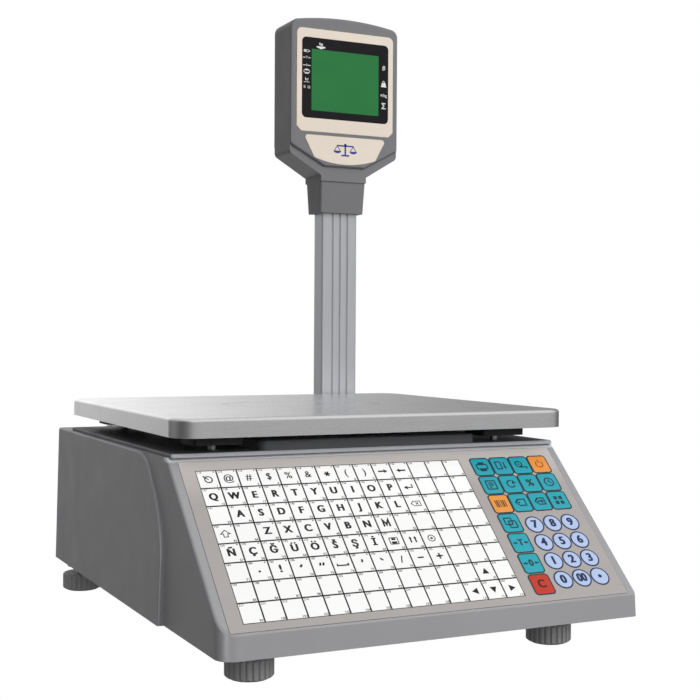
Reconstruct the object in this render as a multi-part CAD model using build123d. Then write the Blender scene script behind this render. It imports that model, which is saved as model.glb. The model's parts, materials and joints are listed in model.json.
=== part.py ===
"""Label printing scale: a counter scale with a sloped membrane keypad, a stainless weighing pan on a
load cell, a two-sided display on a pole, a slide-out label printer in its right side, and four levelling
feet.

Millimetres. The origin is on the table under the middle of the whole object, +X to the operator's right,
+Y away from the operator, +Z up. Each entry of PARTS is one sub-part and becomes one STEP file."""

import os
from math import atan2, cos, degrees, hypot, pi, radians, sin

from build123d import *

# ---- Driving dimensions --------------------------------------------------------------------------
BASE_W = 350.0  # between the plain sides of the housing
BASE_D = 460.0
SWELL = 5.0  # how far the raised side fields stand out at the skirt
SWELL_TOP = 2.0  # and at the top edge
MID_Y = -5.0  # middle of the base's depth
SKIRT_Z = 28.0  # bottom edge of the housing above the table
TOP_Z = SKIRT_Z + 127.4
LIP_Z = SKIRT_Z + 17.4
WALL = 3.0
LIP_R = {-1: 13.0, 1: 4.0}  # the front lip's left and right corners
REAR_R = 7.0  # the upright rear corners

FRONT_Y = MID_Y - BASE_D / 2
REAR_Y = MID_Y + BASE_D / 2
LIP_Y = FRONT_Y + 1.5
SLOPE_Y = MID_Y - 111.0  # top edge of the key panel
HALF_W = BASE_W / 2

PAN_W, PAN_D, PAN_H, PAN_R = 352.0, 328.0, 15.0, 20.0
PAN_X = 3.0  # the pan sits a little to the right of the middle
PAN_Y = MID_Y + 34.4
PAN_TOP = SKIRT_Z + 157.8
PAN_T = 1.2

KEY_W, KEY_H = 230.0, 138.5
KEY_X, KEY_S = -156.0, 14.2  # upper left corner of the key card: across, and down the slope

HEAD_X, HEAD_W = 120.0, 126.0
HEAD_FRONT, HEAD_REAR = 187.0, 235.0
HEAD_TOP, HEAD_CORNER_Z, HEAD_SIDE_Z, HEAD_NECK_Z = 584.5, 578.5, 440.0, 418.0
COLLAR_W, COLLAR_D, COLLAR_Z0, COLLAR_Z1 = 53.0, 34.0, 379.0, 412.0
POLE_W, POLE_D, POLE_Y = 41.0, 21.8, 210.7

TRAY_Z0, TRAY_Z1 = 30.0, 33.0
FEET = {"front_left": (-131.0, -176.0), "front_right": (131.0, -176.0),
        "rear_left": (-160.0, 193.0), "rear_right": (160.0, 193.0)}
WHEEL_R, WHEEL_Z0, WHEEL_Z1, WHEEL_RIBS = 18.3, 1.2, 16.0, 24
PAD_T = 1.0  # part of the rubber pad that shows under the wheel
STUD_R, THREAD_GAP = 4.0, 0.05

# Printer cassette: a drawer in the right side
BAY_Y0, BAY_Y1, BAY_Z0, BAY_Z1 = -64.0, 74.0, 42.0, 142.0  # opening in the side wall
BAY_W, BAY_H = BAY_Y1 - BAY_Y0, BAY_Z1 - BAY_Z0
BAY_MID_Y, BAY_MID_Z = (BAY_Y0 + BAY_Y1) / 2, (BAY_Z0 + BAY_Z1) / 2
BAY_GAP = 0.8
PLATE_Y = (16.0, 18.0)  # upright plate that carries the mechanism
MEDIA_Y = (-46.0, 12.0)  # width of the labels
ROLL_X, ROLL_Z, ROLL_R, SPINDLE_R = 92.0, 90.0, 40.0, 13.0
SPOOL_X, SPOOL_Z, SPOOL_R = 152.0, 62.0, 14.0
PLATEN_X, PLATEN_Z, PLATEN_R = 154.0, 92.0, 7.0
PIVOT_X, PIVOT_Z = 134.0, 118.0  # print head's hinge
GEAR_Y = (19.0, 25.0)
PLATEN_TEETH, IDLER_TEETH, PINION_TEETH = 20, 24, 14
IDLER_ANGLE = 210.0  # direction from the platen to the idler, then level to the pinion
RUN = 0.05  # radial running clearance

PARTS = {}


# ---- Helpers -------------------------------------------------------------------------------------
def box(x0, x1, y0, y1, z0, z1):
    """A block between two corners."""
    return Pos((x0 + x1) / 2, (y0 + y1) / 2, (z0 + z1) / 2) * Box(x1 - x0, y1 - y0, z1 - z0)


def rod_x(y, z, x0, x1, r):
    return Pos((x0 + x1) / 2, y, z) * Rot(0, 90, 0) * Cylinder(r, x1 - x0)


def rod_y(x, z, y0, y1, r):
    return Pos(x, (y0 + y1) / 2, z) * Rot(90, 0, 0) * Cylinder(r, y1 - y0)


def rod_z(x, y, z0, z1, r):
    return Pos(x, y, (z0 + z1) / 2) * Cylinder(r, z1 - z0)


def outline(*points):
    return make_face(Polyline(*points, close=True))


def prism_x(face, x0, x1):
    """Extrude an outline drawn in (y, z) along X."""
    start = Plane((x0, 0, 0), x_dir=(0, 1, 0), z_dir=(1, 0, 0))
    return extrude(start * face, amount=x1 - x0, dir=(1, 0, 0))


def prism_y(face, y0, y1):
    """Extrude an outline drawn in (x, z) along Y."""
    start = Plane((0, y0, 0), x_dir=(1, 0, 0), z_dir=(0, -1, 0))
    return extrude(start * face, amount=y1 - y0, dir=(0, 1, 0))


def yz_block(x0, x1, y, z, face):
    """A plate facing +X whose outline is centred on (y, z)."""
    start = Plane((x0, y, z), x_dir=(0, 1, 0), z_dir=(1, 0, 0))
    return extrude(start * face, amount=x1 - x0, dir=(1, 0, 0))


def edges_where(shape, test):
    return [e for e in shape.edges() if test(e.center(), e)]


def group(solids):
    """Several equal pieces in one sub-part."""
    return Compound(children=[s.solids()[0] for s in solids])


def screw(x, y, z_head, length, r, up=False):
    """A pan-head screw pointing down from z_head, or up."""
    d = 1 if up else -1
    ends = sorted((z_head, z_head + d * length))
    head = sorted((z_head, z_head - d * r * 1.1))
    body = rod_z(x, y, ends[0], ends[1], r) + rod_z(x, y, head[0], head[1], r * 1.9)
    slot = sorted((z_head - d * r * 1.1, z_head - d * r * 0.4))
    return body - box(x - r * 1.2, x + r * 1.2, y - 0.5, y + 0.5, slot[0], slot[1])


# ---- Housing -------------------------------------------------------------------------------------
SLOPE_DY, SLOPE_DZ = LIP_Y - SLOPE_Y, LIP_Z - TOP_Z
SLOPE_L = hypot(SLOPE_DY, SLOPE_DZ)
SLOPE_NORMAL = (0, SLOPE_DZ / SLOPE_L, -SLOPE_DY / SLOPE_L)
SLOPE = Location(Plane((0, SLOPE_Y, TOP_Z), x_dir=(1, 0, 0), z_dir=SLOPE_NORMAL))


def on_slope(x, s, z0, z1, face):
    """A plate on the key panel: x across, s down the slope, from z0 to z1 out of the panel."""
    solid = extrude(face, amount=z1 - z0, dir=(0, 0, 1))
    return SLOPE * Pos(x, -s, z0) * solid


def side_field(x0):
    """The raised field of the right side, from x0 out to its leaning face, with its curved front edge."""
    lean = outline((x0, SKIRT_Z), (HALF_W + SWELL, SKIRT_Z), (HALF_W + SWELL_TOP, TOP_Z), (x0, TOP_Z))
    slab = prism_y(lean, MID_Y - 110, REAR_Y)
    low, mid = (MID_Y - 106.5, SKIRT_Z), (MID_Y - 108.0, SKIRT_Z + 47)
    curve = Spline(mid, (MID_Y - 98.0, SKIRT_Z + 83), (MID_Y - 76.0, SKIRT_Z + 110.5),
                   (MID_Y - 40.0, TOP_Z), tangents=((0, 1), (1, 0.04)))
    rim = Polyline((MID_Y - 40.0, TOP_Z), (REAR_Y, TOP_Z), (REAR_Y, SKIRT_Z), low, mid)
    return slab & prism_x(make_face([curve, rim]), HALF_W - 20, HALF_W + 20)


def build_housing():
    profile = outline((FRONT_Y, SKIRT_Z), (LIP_Y, LIP_Z), (SLOPE_Y, TOP_Z), (REAR_Y, TOP_Z),
                      (REAR_Y, SKIRT_Z))
    shell = prism_x(profile, -HALF_W, HALF_W)
    for side, radius in LIP_R.items():
        corner = edges_where(shell, lambda c, e: c.Y < LIP_Y + 1 and side * c.X > HALF_W - 1 and e.length < 20)
        shell = fillet(corner, radius)
    slope_face = min((f for f in shell.faces() if f.normal_at().Z > 0.3 and f.normal_at().Y < -0.3),
                     key=lambda f: f.center().Y - f.area)
    shell = fillet(slope_face.edges(), 2.4)
    shell = fillet(edges_where(shell, lambda c, e: c.Y > REAR_Y - 0.1 and e.length > 100), 3.0)

    field = side_field(HALF_W - 10)
    rear_edge = edges_where(field, lambda c, e: c.X > HALF_W + 1 and c.Y > REAR_Y - 0.1 and e.length > 100)
    field = fillet(rear_edge, REAR_R)
    round_edges = edges_where(field, lambda c, e: c.X > HALF_W + 1 and c.Z > SKIRT_Z + 1)
    field = fillet(round_edges, 1.9)
    shell = shell + field + mirror(field, Plane.YZ)

    cavity = offset(profile, amount=-WALL, kind=Kind.INTERSECTION)
    cavity = prism_x(cavity, -HALF_W + WALL, HALF_W - WALL)
    cavity += box(-HALF_W + WALL, HALF_W - WALL, FRONT_Y + WALL, REAR_Y - WALL, SKIRT_Z - 5, SKIRT_Z + 8)
    # the front lip's rounded corners keep their wall
    for side, radius in LIP_R.items():
        radius = max(radius, WALL + 1.0)
        x, y = side * (HALF_W - radius), FRONT_Y + radius
        x_low, x_high = sorted((x, side * HALF_W))
        corner = box(x_low, x_high, FRONT_Y, y, SKIRT_Z - 6, LIP_Z + 12)
        cavity -= corner - rod_z(x, y + 0.6, SKIRT_Z - 6, LIP_Z + 12, radius - WALL)
    shell -= cavity

    # screw posts grow down from the side walls to the tray
    for x, y in POSTS:
        post = rod_z(x, y, TRAY_Z1, 60, 6.0) & box(-HALF_W + 1, HALF_W - 1, FRONT_Y, REAR_Y, 0, TOP_Z)
        shell += post
    for x, y in POSTS:
        shell -= rod_z(x, y, TRAY_Z1 - 1, 50, 2.05)

    # openings: the load post, the pole, the level, the printer, the rear connectors, the keypad tail
    shell -= box(-60, 60, -60, 120, TOP_Z - WALL - 1, TOP_Z + 1)
    shell -= box(HEAD_X - POLE_W / 2 - 0.4, HEAD_X + POLE_W / 2 + 0.4, POLE_Y - POLE_D / 2 - 0.4,
                 POLE_Y + POLE_D / 2 + 0.4, TOP_Z - WALL - 1, TOP_Z + 1)
    shell -= rod_z(LEVEL_X, LEVEL_Y, TOP_Z - WALL - 1, TOP_Z + 1, 9.3)
    shell -= yz_block(HALF_W - 8, HALF_W + 12, BAY_MID_Y, BAY_MID_Z, RectangleRounded(BAY_W, BAY_H, 6))
    shell -= box(PORT_X0, PORT_X1, REAR_Y - WALL - 1, REAR_Y + 1, PORT_Z0, PORT_Z1)
    shell -= on_slope(0, OVERLAY_S, -0.4, 5, RectangleRounded(OVERLAY_W, OVERLAY_H, OVERLAY_R))
    shell -= on_slope(60, SLOPE_L - 8, -6, 1, Rectangle(24, 1.2))
    return shell


POSTS = [(side * 167.0, y) for side in (-1, 1) for y in (-150.0, 100.0, 160.0)]
LEVEL_X, LEVEL_Y = -120.0, 209.0
PORT_X0, PORT_X1, PORT_Z0, PORT_Z1 = -150.0, 12.0, 52.0, 92.0
OVERLAY_W, OVERLAY_H, OVERLAY_R = 335.0, 155.0, 1.6
OVERLAY_S = 4.5 + OVERLAY_H / 2

PARTS["upper_housing"] = build_housing()

tray = box(-170.5, 170.5, FRONT_Y + 5, REAR_Y - WALL - 0.5, TRAY_Z0, TRAY_Z1)
tray = fillet(edges_where(tray, lambda c, e: abs(e.length - 3) < 0.01 and c.Y < 0), 12.0)
for y in (-120.0, -20.0, 140.0):  # pressed ribs under the tray
    tray += box(-130, 130, y - 4, y + 4, TRAY_Z0 - 1.5, TRAY_Z0)
for x, y in POSTS:
    tray -= rod_z(x, y, TRAY_Z0 - 1, TRAY_Z1 + 1, 2.3)
for x, y in FEET.values():
    tray -= rod_z(x, y, TRAY_Z0 - 1, TRAY_Z1 + 1, 7.0)
for x in range(-90, 91, 30):  # cooling slots under the power supply and main board
    for y in (-70.0, -88.0):
        tray -= Pos(x, y, TRAY_Z0) * extrude(SlotOverall(22, 4), amount=4, dir=(0, 0, 1))
PARTS["base_tray"] = tray
PARTS["tray_screws"] = group([screw(x, y, TRAY_Z0, 18, 2.0, up=True) for x, y in POSTS])

deck = Pos(0, PAN_Y + 2, TOP_Z) * extrude(RectangleRounded(346, 304, 3), amount=3.0, dir=(0, 0, 1))
deck = chamfer(edges_where(deck, lambda c, e: c.Z > TOP_Z + 2.9), 1.0)
PLATEAU_TOP = TOP_Z + 10.6
plateau = extrude(RectangleRounded(196, 276, 6), amount=PLATEAU_TOP - TOP_Z - 3, dir=(0, 0, 1))
plateau = Pos(0, PAN_Y - 6, TOP_Z + 3) * plateau
plateau = fillet(edges_where(plateau, lambda c, e: c.Z > PLATEAU_TOP - 0.1), 1.5)
deck += plateau
deck -= box(-59, 59, -59, 119, TOP_Z - 1, PLATEAU_TOP - 2.5)  # hollow over the housing's opening
deck -= box(-30, 30, -44, 6, TOP_Z, TOP_Z + 20)
for x in (-130, 130):
    for y in (PAN_Y - 134, PAN_Y + 134):
        deck -= rod_z(x, y, TOP_Z - 1, TOP_Z + 5, 4.0)
PARTS["top_deck"] = deck

level = rod_z(LEVEL_X, LEVEL_Y, TOP_Z - 7, TOP_Z + 0.01, 9.0)
level += rod_z(LEVEL_X, LEVEL_Y, TOP_Z, TOP_Z + 1.2, 11.5)
level -= rod_z(LEVEL_X, LEVEL_Y, TOP_Z - 4, TOP_Z + 2, 7.0)
PARTS["spirit_level"] = level
vial = rod_z(LEVEL_X, LEVEL_Y, TOP_Z - 4, TOP_Z + 1.0, 7.0)
PARTS["level_vial"] = fillet(vial.edges().group_by(Axis.Z)[-1], 0.8)


# ---- Keypad --------------------------------------------------------------------------------------
SQUARE, DISC_R = 16.6, 7.1
square_keys = [(x, 23.5 + row * 19.9) for row in range(3) for x in (93.0, 112.0, 131.0, 150.0)]
square_keys += [(93.0, 83.2 + row * 20.15) for row in range(4)]
round_keys = [(x, 86.5 + row * 18.3) for row in range(4) for x in (114.5, 132.0, 149.3)]

sheet = RectangleRounded(OVERLAY_W - 0.6, OVERLAY_H - 0.6, OVERLAY_R - 0.3)
overlay = on_slope(0, OVERLAY_S, -0.4, 0.2, sheet)
overlay -= on_slope(KEY_X + KEY_W / 2, KEY_S + KEY_H / 2, -1, 1, Rectangle(KEY_W, KEY_H))
for x, s in square_keys:
    overlay += on_slope(x, s, 0.1, 0.5, RectangleRounded(SQUARE, SQUARE, 2.5))
for x, s in round_keys:
    overlay += on_slope(x, s, 0.1, 0.5, Circle(DISC_R))
PARTS["keypad_overlay"] = overlay
card = Rectangle(KEY_W - 0.2, KEY_H - 0.2)
PARTS["preset_key_card"] = on_slope(KEY_X + KEY_W / 2, KEY_S + KEY_H / 2, -0.4, 0.15, card)
PARTS["key_dome_sheet"] = on_slope(0, 78, -3.6, -3.05, Rectangle(326, 138))
board = on_slope(0, 78, -6.0, -4.4, Rectangle(322, 136))
board += on_slope(-100, 70, -10.0, -6.0, Rectangle(30, 22))
PARTS["keypad_board"] = board


# ---- Weighing ------------------------------------------------------------------------------------
CELL_X, CELL_Y0, CELL_Y1, CELL_Z0, CELL_Z1 = 17.5, PAN_Y - 65, PAN_Y + 65, 96.0, 126.0
cell = box(-CELL_X, CELL_X, CELL_Y0, CELL_Y1, CELL_Z0, CELL_Z1)
for dy in (-15, 15):
    cell -= rod_x(PAN_Y + dy, (CELL_Z0 + CELL_Z1) / 2, -20, 20, 11.0)
cell -= box(-20, 20, PAN_Y - 15, PAN_Y + 15, 108.0, 114.0)
FIXED_BOLTS = [(x, CELL_Y1 - 12) for x in (-9, 9)]
FREE_BOLTS = [(x, CELL_Y0 + 12) for x in (-9, 9)]
for x, y in FIXED_BOLTS:
    cell -= rod_z(x, y, CELL_Z0 - 1, CELL_Z0 + 20, 3.0)
for x, y in FREE_BOLTS:
    cell -= rod_z(x, y, CELL_Z0 + 8, CELL_Z1 + 1, 3.5)
PARTS["load_cell"] = cell

bridge = box(-40, 40, CELL_Y1 - 38, CELL_Y1 + 16, TRAY_Z1, TRAY_Z1 + 5)
bridge += box(-25, 25, CELL_Y1 - 30, CELL_Y1 + 4, TRAY_Z1 + 5, CELL_Z0)
for side in (-1, 1):  # gussets
    bridge += prism_x(outline((CELL_Y1 + 3, TRAY_Z1 + 4), (CELL_Y1 + 15, TRAY_Z1 + 4), (CELL_Y1 + 3, 80)),
                      side * 18 - 3, side * 18 + 3)
for x, y in FIXED_BOLTS:
    bridge -= rod_z(x, y, TRAY_Z1 - 1, CELL_Z0 + 1, 3.4)
    bridge -= rod_z(x, y, TRAY_Z1 - 1, 76, 6.5)
PARTS["load_cell_bridge"] = bridge
PARTS["load_cell_bolts"] = group([screw(x, y, 76, 34, 2.95, up=True) for x, y in FIXED_BOLTS])

FLEX = 0.8  # room under the post for the cell's deflection
HUB_Z0, HUB_Z1 = 168.5, 180.0
post = box(-20, 20, CELL_Y0 - 2, CELL_Y0 + 28, CELL_Z1 + FLEX, HUB_Z0)
for x, y in FREE_BOLTS:
    post -= rod_z(x, y, CELL_Z1, HUB_Z0 + 1, 3.05)
PARTS["load_post"] = post

spider = Pos(0, PAN_Y, HUB_Z0) * extrude(RectangleRounded(84, 150, 8), amount=8, dir=(0, 0, 1))
spider -= Pos(0, PAN_Y + 22, HUB_Z0 - 1) * extrude(RectangleRounded(56, 84, 6), amount=12, dir=(0, 0, 1))
PAD_X, PAD_Y, PAD_Z0 = 130.0, 122.0, 163.0
for sx in (-1, 1):
    for sy in (-1, 1):
        x, y = sx * PAD_X, PAN_Y + sy * PAD_Y
        angle = degrees(atan2(y - (PAN_Y + sy * 60), x - sx * 30))
        run = hypot(y - (PAN_Y + sy * 60), x - sx * 30)
        root = Pos(sx * 30, PAN_Y + sy * 60, HUB_Z0 + 4) * Rot(0, 0, angle)
        spider += root * Pos(run / 2, 0, 0) * Box(run, 18, 8)
        pad = extrude(RectangleRounded(42, 34, 4), amount=HUB_Z1 - PAD_Z0, dir=(0, 0, 1))
        spider += Pos(x, y, PAD_Z0) * pad
for x, y in FREE_BOLTS:
    spider -= rod_z(x, y, HUB_Z0 - 1, HUB_Z1 + 1, 3.05)
PARTS["platter_spider"] = spider
PARTS["spider_bolts"] = group([screw(x, y, HUB_Z0 + 8, 66, 3.0) for x, y in FREE_BOLTS])
PAN_UNDER = PAN_TOP - PAN_T
PARTS["platter_bumpers"] = group([rod_z(sx * PAD_X, PAN_Y + sy * PAD_Y, HUB_Z1, PAN_UNDER, 8.0)
                                  for sx in (-1, 1) for sy in (-1, 1)])
PARTS["overload_stops"] = group([rod_z(sx * PAD_X, PAN_Y + sy * PAD_Y, TOP_Z + 3.0, 161.8, 3.5)
                                 for sx in (-1, 1) for sy in (-1, 1)])

pan = extrude(RectangleRounded(PAN_W, PAN_D, PAN_R), amount=PAN_H, dir=(0, 0, 1))
pan = fillet(pan.edges().group_by(Axis.Z)[-1], 2.6)
inside = RectangleRounded(PAN_W - 2 * PAN_T, PAN_D - 2 * PAN_T, PAN_R - PAN_T)
hollow = Pos(0, 0, -1) * extrude(inside, amount=PAN_H + 1 - PAN_T, dir=(0, 0, 1))
pan -= fillet(hollow.edges().group_by(Axis.Z)[-1], 1.4)
bead = Ellipse(78.0, 42.0) - Ellipse(75.6, 39.6)  # shallow pressed ring in the middle
pan -= Pos(0, 0, PAN_H - 0.25) * extrude(bead, amount=1, dir=(0, 0, 1))
PARTS["platter"] = Pos(PAN_X, PAN_Y, PAN_TOP - PAN_H) * pan


# ---- Electronics ---------------------------------------------------------------------------------
BOARD_Z0, BOARD_Z1 = 43.0, 44.6
BOARD_HOLES = [(x, y) for x in (-154.0, -66.0) for y in (-99.0, 29.0)]
board = box(-160, -60, -105, 35, BOARD_Z0, BOARD_Z1)
board += box(-130, -104, -60, -34, BOARD_Z1, 47) + box(-95, -70, -100, -60, BOARD_Z1, 52)
board += box(-158, -150, -70, -10, BOARD_Z1, 54) + box(-100, -78, 0, 16, BOARD_Z1, 49)
for i in range(4):  # capacitors
    board += rod_z(-140 + 12 * i, 10, BOARD_Z1, 56, 4.5)
for x, y in BOARD_HOLES:
    board -= rod_z(x, y, 42, 46, 1.7)
PARTS["main_board"] = board
PARTS["board_standoffs"] = group([rod_z(x, y, TRAY_Z1, BOARD_Z0, 3.0) for x, y in BOARD_HOLES])

psu = box(-160, -62, 55, 165, TRAY_Z1, 72)
for i in range(8):
    psu -= box(-150 + 10 * i, -146 + 10 * i, 70, 150, 70, 73)
PARTS["power_supply"] = psu

PLATE_Y1 = REAR_Y - WALL
plate = box(PORT_X0 - 4, PORT_X1 + 4, PLATE_Y1 - 1.5, PLATE_Y1, PORT_Z0 - 4, PORT_Z1 + 4)
INLET_X, SWITCH_X, JACKS_X, PORT_Z = -120.0, -62.0, (-28.0, -4.0), 72.0
plate -= box(INLET_X - 14.2, INLET_X + 14.2, 210, 230, PORT_Z - 10.2, PORT_Z + 10.2)
plate -= box(SWITCH_X - 12.2, SWITCH_X + 12.2, 210, 230, PORT_Z - 9.2, PORT_Z + 9.2)
for x in JACKS_X:
    plate -= box(x - 8.1, x + 8.1, 210, 230, PORT_Z - 7.1, PORT_Z + 7.1)
PARTS["port_plate"] = plate

inlet = box(INLET_X - 14, INLET_X + 14, 198, PLATE_Y1, PORT_Z - 10, PORT_Z + 10)
inlet += prism_y(Pos(INLET_X, PORT_Z) * RectangleRounded(50, 24, 4), PLATE_Y1, PLATE_Y1 + 2)
CAVITY = outline((-12, -8), (12, -8), (12, 4), (8, 8), (-8, 8), (-12, 4))
inlet -= prism_y(Pos(INLET_X, PORT_Z) * CAVITY, 207, PLATE_Y1 + 3)
for dx, dz in ((-7, 2), (0, -2.5), (7, 2)):
    inlet += box(INLET_X + dx - 1, INLET_X + dx + 1, 206, 216.5, PORT_Z + dz - 2, PORT_Z + dz + 2)
for dx in (-20, 20):
    inlet -= rod_y(INLET_X + dx, PORT_Z, PLATE_Y1 - 1, PLATE_Y1 + 3, 1.6)
PARTS["power_inlet"] = inlet

ROCKER_Y = 219.2
switch = box(SWITCH_X - 12, SWITCH_X + 12, 203, PLATE_Y1, PORT_Z - 9, PORT_Z + 9)
switch += prism_y(Pos(SWITCH_X, PORT_Z) * RectangleRounded(30, 23, 2), PLATE_Y1, PLATE_Y1 + 2)
switch -= box(SWITCH_X - 10.5, SWITCH_X + 10.5, 208, PLATE_Y1 + 3, PORT_Z - 7.6, PORT_Z + 7.6)
switch -= rod_x(ROCKER_Y, PORT_Z, SWITCH_X - 11.4, SWITCH_X + 11.4, 1.5 + RUN)
PARTS["switch_body"] = switch
rocker = outline((-4.5, -3.5), (1.5, -6.9), (3.6, -6.7), (2.3, 0), (3.6, 6.7), (1.5, 6.9), (-4.5, 3.5))
rocker = prism_x(rocker, SWITCH_X - 10.1, SWITCH_X + 10.1)
rocker += rod_x(0, 0, SWITCH_X - 11.2, SWITCH_X + 11.2, 1.5)
ROCKER_TILT = 10.0  # at rest the lower half stands out
PARTS["power_rocker"] = Pos(0, ROCKER_Y, PORT_Z) * Rot(-ROCKER_TILT, 0, 0) * rocker

jacks = []
for x in JACKS_X:
    jack = box(x - 8, x + 8, 203, PLATE_Y1 + 0.5, PORT_Z - 7, PORT_Z + 7)
    jacks.append(jack - box(x - 6, x + 6, 209, PLATE_Y1 + 2, PORT_Z - 4.5, PORT_Z + 4.5))
PARTS["rear_jacks"] = group(jacks)


# ---- Pole and display head -----------------------------------------------------------------------
POLE_X0, POLE_X1 = HEAD_X - POLE_W / 2, HEAD_X + POLE_W / 2
POLE_Y0, POLE_Y1 = POLE_Y - POLE_D / 2, POLE_Y + POLE_D / 2
POLE_Z0, POLE_Z1 = TRAY_Z1 + 3, 430.0
section = RectangleRounded(POLE_W, POLE_D, 2.0) - RectangleRounded(POLE_W - 6, POLE_D - 8.4, 1.5)
for dx in (-8.6, 0, 8.6):
    for side in (-1, 1):
        section -= Pos(dx, side * POLE_D / 2) * Rectangle(2.6, 3.2)
pole = Pos(HEAD_X, POLE_Y, POLE_Z0) * extrude(section, amount=POLE_Z1 - POLE_Z0, dir=(0, 0, 1))
PARTS["pole"] = pole

socket = box(POLE_X0 - 4, POLE_X1 + 4, POLE_Y0 - 4, POLE_Y1, POLE_Z0, 112)
socket += box(POLE_X0 - 14, POLE_X1 + 10, POLE_Y0 - 20, POLE_Y1, TRAY_Z1, POLE_Z0)
socket -= box(POLE_X0 - 0.1, POLE_X1 + 0.1, POLE_Y0 - 0.1, POLE_Y1 + 1, POLE_Z0, 113)
PARTS["pole_socket"] = socket

sections = [Pos(HEAD_X, POLE_Y, z) * RectangleRounded(width, depth, 2.5) for z, width, depth in (
    (COLLAR_Z0, COLLAR_W - 2, COLLAR_D - 2), (COLLAR_Z1, COLLAR_W, COLLAR_D + 4))]
collar = loft(sections)
collar -= box(POLE_X0 - 0.1, POLE_X1 + 0.1, POLE_Y0 - 0.1, POLE_Y1 + 0.1, COLLAR_Z0 - 1, COLLAR_Z1 + 1)
PARTS["head_collar"] = collar


def head_outline(inset=0.0):
    """The head's outline in (x, z): straight sides, an arched top, a bottom narrowing to the collar."""
    half, neck = HEAD_W / 2 - inset, COLLAR_W / 2 - inset
    corner_z, side_z, neck_z = HEAD_CORNER_Z - inset, HEAD_SIDE_Z + inset * 0.6, HEAD_NECK_Z + inset * 0.6
    top = ThreePointArc((half, corner_z), (0, HEAD_TOP - inset), (-half, corner_z))
    rest = Polyline((-half, corner_z), (-half, side_z), (-neck, neck_z), (-neck, COLLAR_Z1),
                    (neck, COLLAR_Z1), (neck, neck_z), (half, side_z), (half, corner_z))
    return Pos(HEAD_X, 0) * make_face([top, rest])


FACE_STEP, FACE_Y = 3.0, HEAD_FRONT + 0.5
SPLIT_Y = (HEAD_FRONT + HEAD_REAR) / 2
BEZEL_T, BEZEL_Z0, BEZEL_Z1 = 1.7, 462.5, 570.6
BEZEL = outline((-51.6, BEZEL_Z0), (51.6, BEZEL_Z0), (56.8, BEZEL_Z0 + 5.2), (56.8, BEZEL_Z1),
                (-56.8, BEZEL_Z1), (-56.8, BEZEL_Z0 + 5.2))
BEZEL = Pos(HEAD_X, 0) * fillet(BEZEL.vertices().filter_by(lambda v: v.Y > BEZEL_Z1 - 1), 6.0)
WINDOW = Pos(HEAD_X, 519.0) * RectangleRounded(102, 84.5, 5)
LCD = Pos(HEAD_X, 517.2) * RectangleRounded(79.4, 64.6, 0.8)
BADGE_LINE = Polyline((-36, 436), (-48.5, 459.3), (48.5, 459.3), (36, 436))
BADGE_ARC = ThreePointArc((36, 436), (0, 429.8), (-36, 436))
BADGE = make_face([BADGE_LINE, BADGE_ARC])
BADGE = Pos(HEAD_X, 0) * fillet(BADGE.vertices(), 3.0)


def front_half():
    """The shell half that faces the operator, from the outer face back to the split."""
    body = prism_y(head_outline(), FACE_Y + FACE_STEP, SPLIT_Y)
    half = HEAD_W / 2
    v_low = outline((-half - 1, 449.0), (-23.5, 427.2), (23.5, 427.2), (half + 1, 449.0), (half + 1, 600),
                    (-half - 1, 600))
    step = (FACE_Y, FACE_Y + FACE_STEP)
    body += prism_y(head_outline(), *step) & prism_y(Pos(HEAD_X, 0) * v_low, *step)
    depth = SPLIT_Y - FACE_Y
    verticals = edges_where(body, lambda c, e: abs(e.length - depth) < 0.1 and c.Z > 570)
    body = fillet(verticals, 9.0)
    lower = edges_where(body, lambda c, e: abs(e.length - depth + FACE_STEP) < 0.1 and 430 < c.Z < 450)
    body = fillet(lower, 6.0)
    rim = edges_where(body, lambda c, e: c.Y < FACE_Y + 0.01 and c.Z > 500)
    body = fillet(rim, 2.6)
    v_rim = edges_where(body, lambda c, e: c.Y < FACE_Y + 0.01 and c.Z < 450 and e.length > 20)
    body = chamfer(v_rim, 1.4)
    body -= prism_y(head_outline(3.0), FACE_Y + 6.0, SPLIT_Y + 1)
    body -= prism_y(BEZEL, FACE_Y - 1, FACE_Y + BEZEL_T - 0.5)
    body -= prism_y(BADGE, FACE_Y - 1, FACE_Y + BEZEL_T - 0.5)
    body -= prism_y(LCD, FACE_Y - 1, FACE_Y + 8)
    return body


def turned(shape):
    """The same piece on the customer's side."""
    return Pos(HEAD_X, SPLIT_Y, 0) * Rot(0, 0, 180) * Pos(-HEAD_X, -SPLIT_Y, 0) * shape


pole_room = box(POLE_X0 - 0.1, POLE_X1 + 0.1, POLE_Y0 - 0.1, POLE_Y1 + 0.1, COLLAR_Z1 - 1, POLE_Z1 + 2)
HEAD_SCREWS = [(HEAD_X + dx, z) for dx, z in ((-52, 452), (52, 452), (-52, 566), (52, 566))]
PARTS["head_front_shell"] = front_half() - pole_room
PARTS["head_rear_shell"] = turned(front_half()) - pole_room
PARTS["head_screws"] = group([rod_y(x, z, SPLIT_Y - 15, SPLIT_Y + 15, 1.5) for x, z in HEAD_SCREWS])

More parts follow.
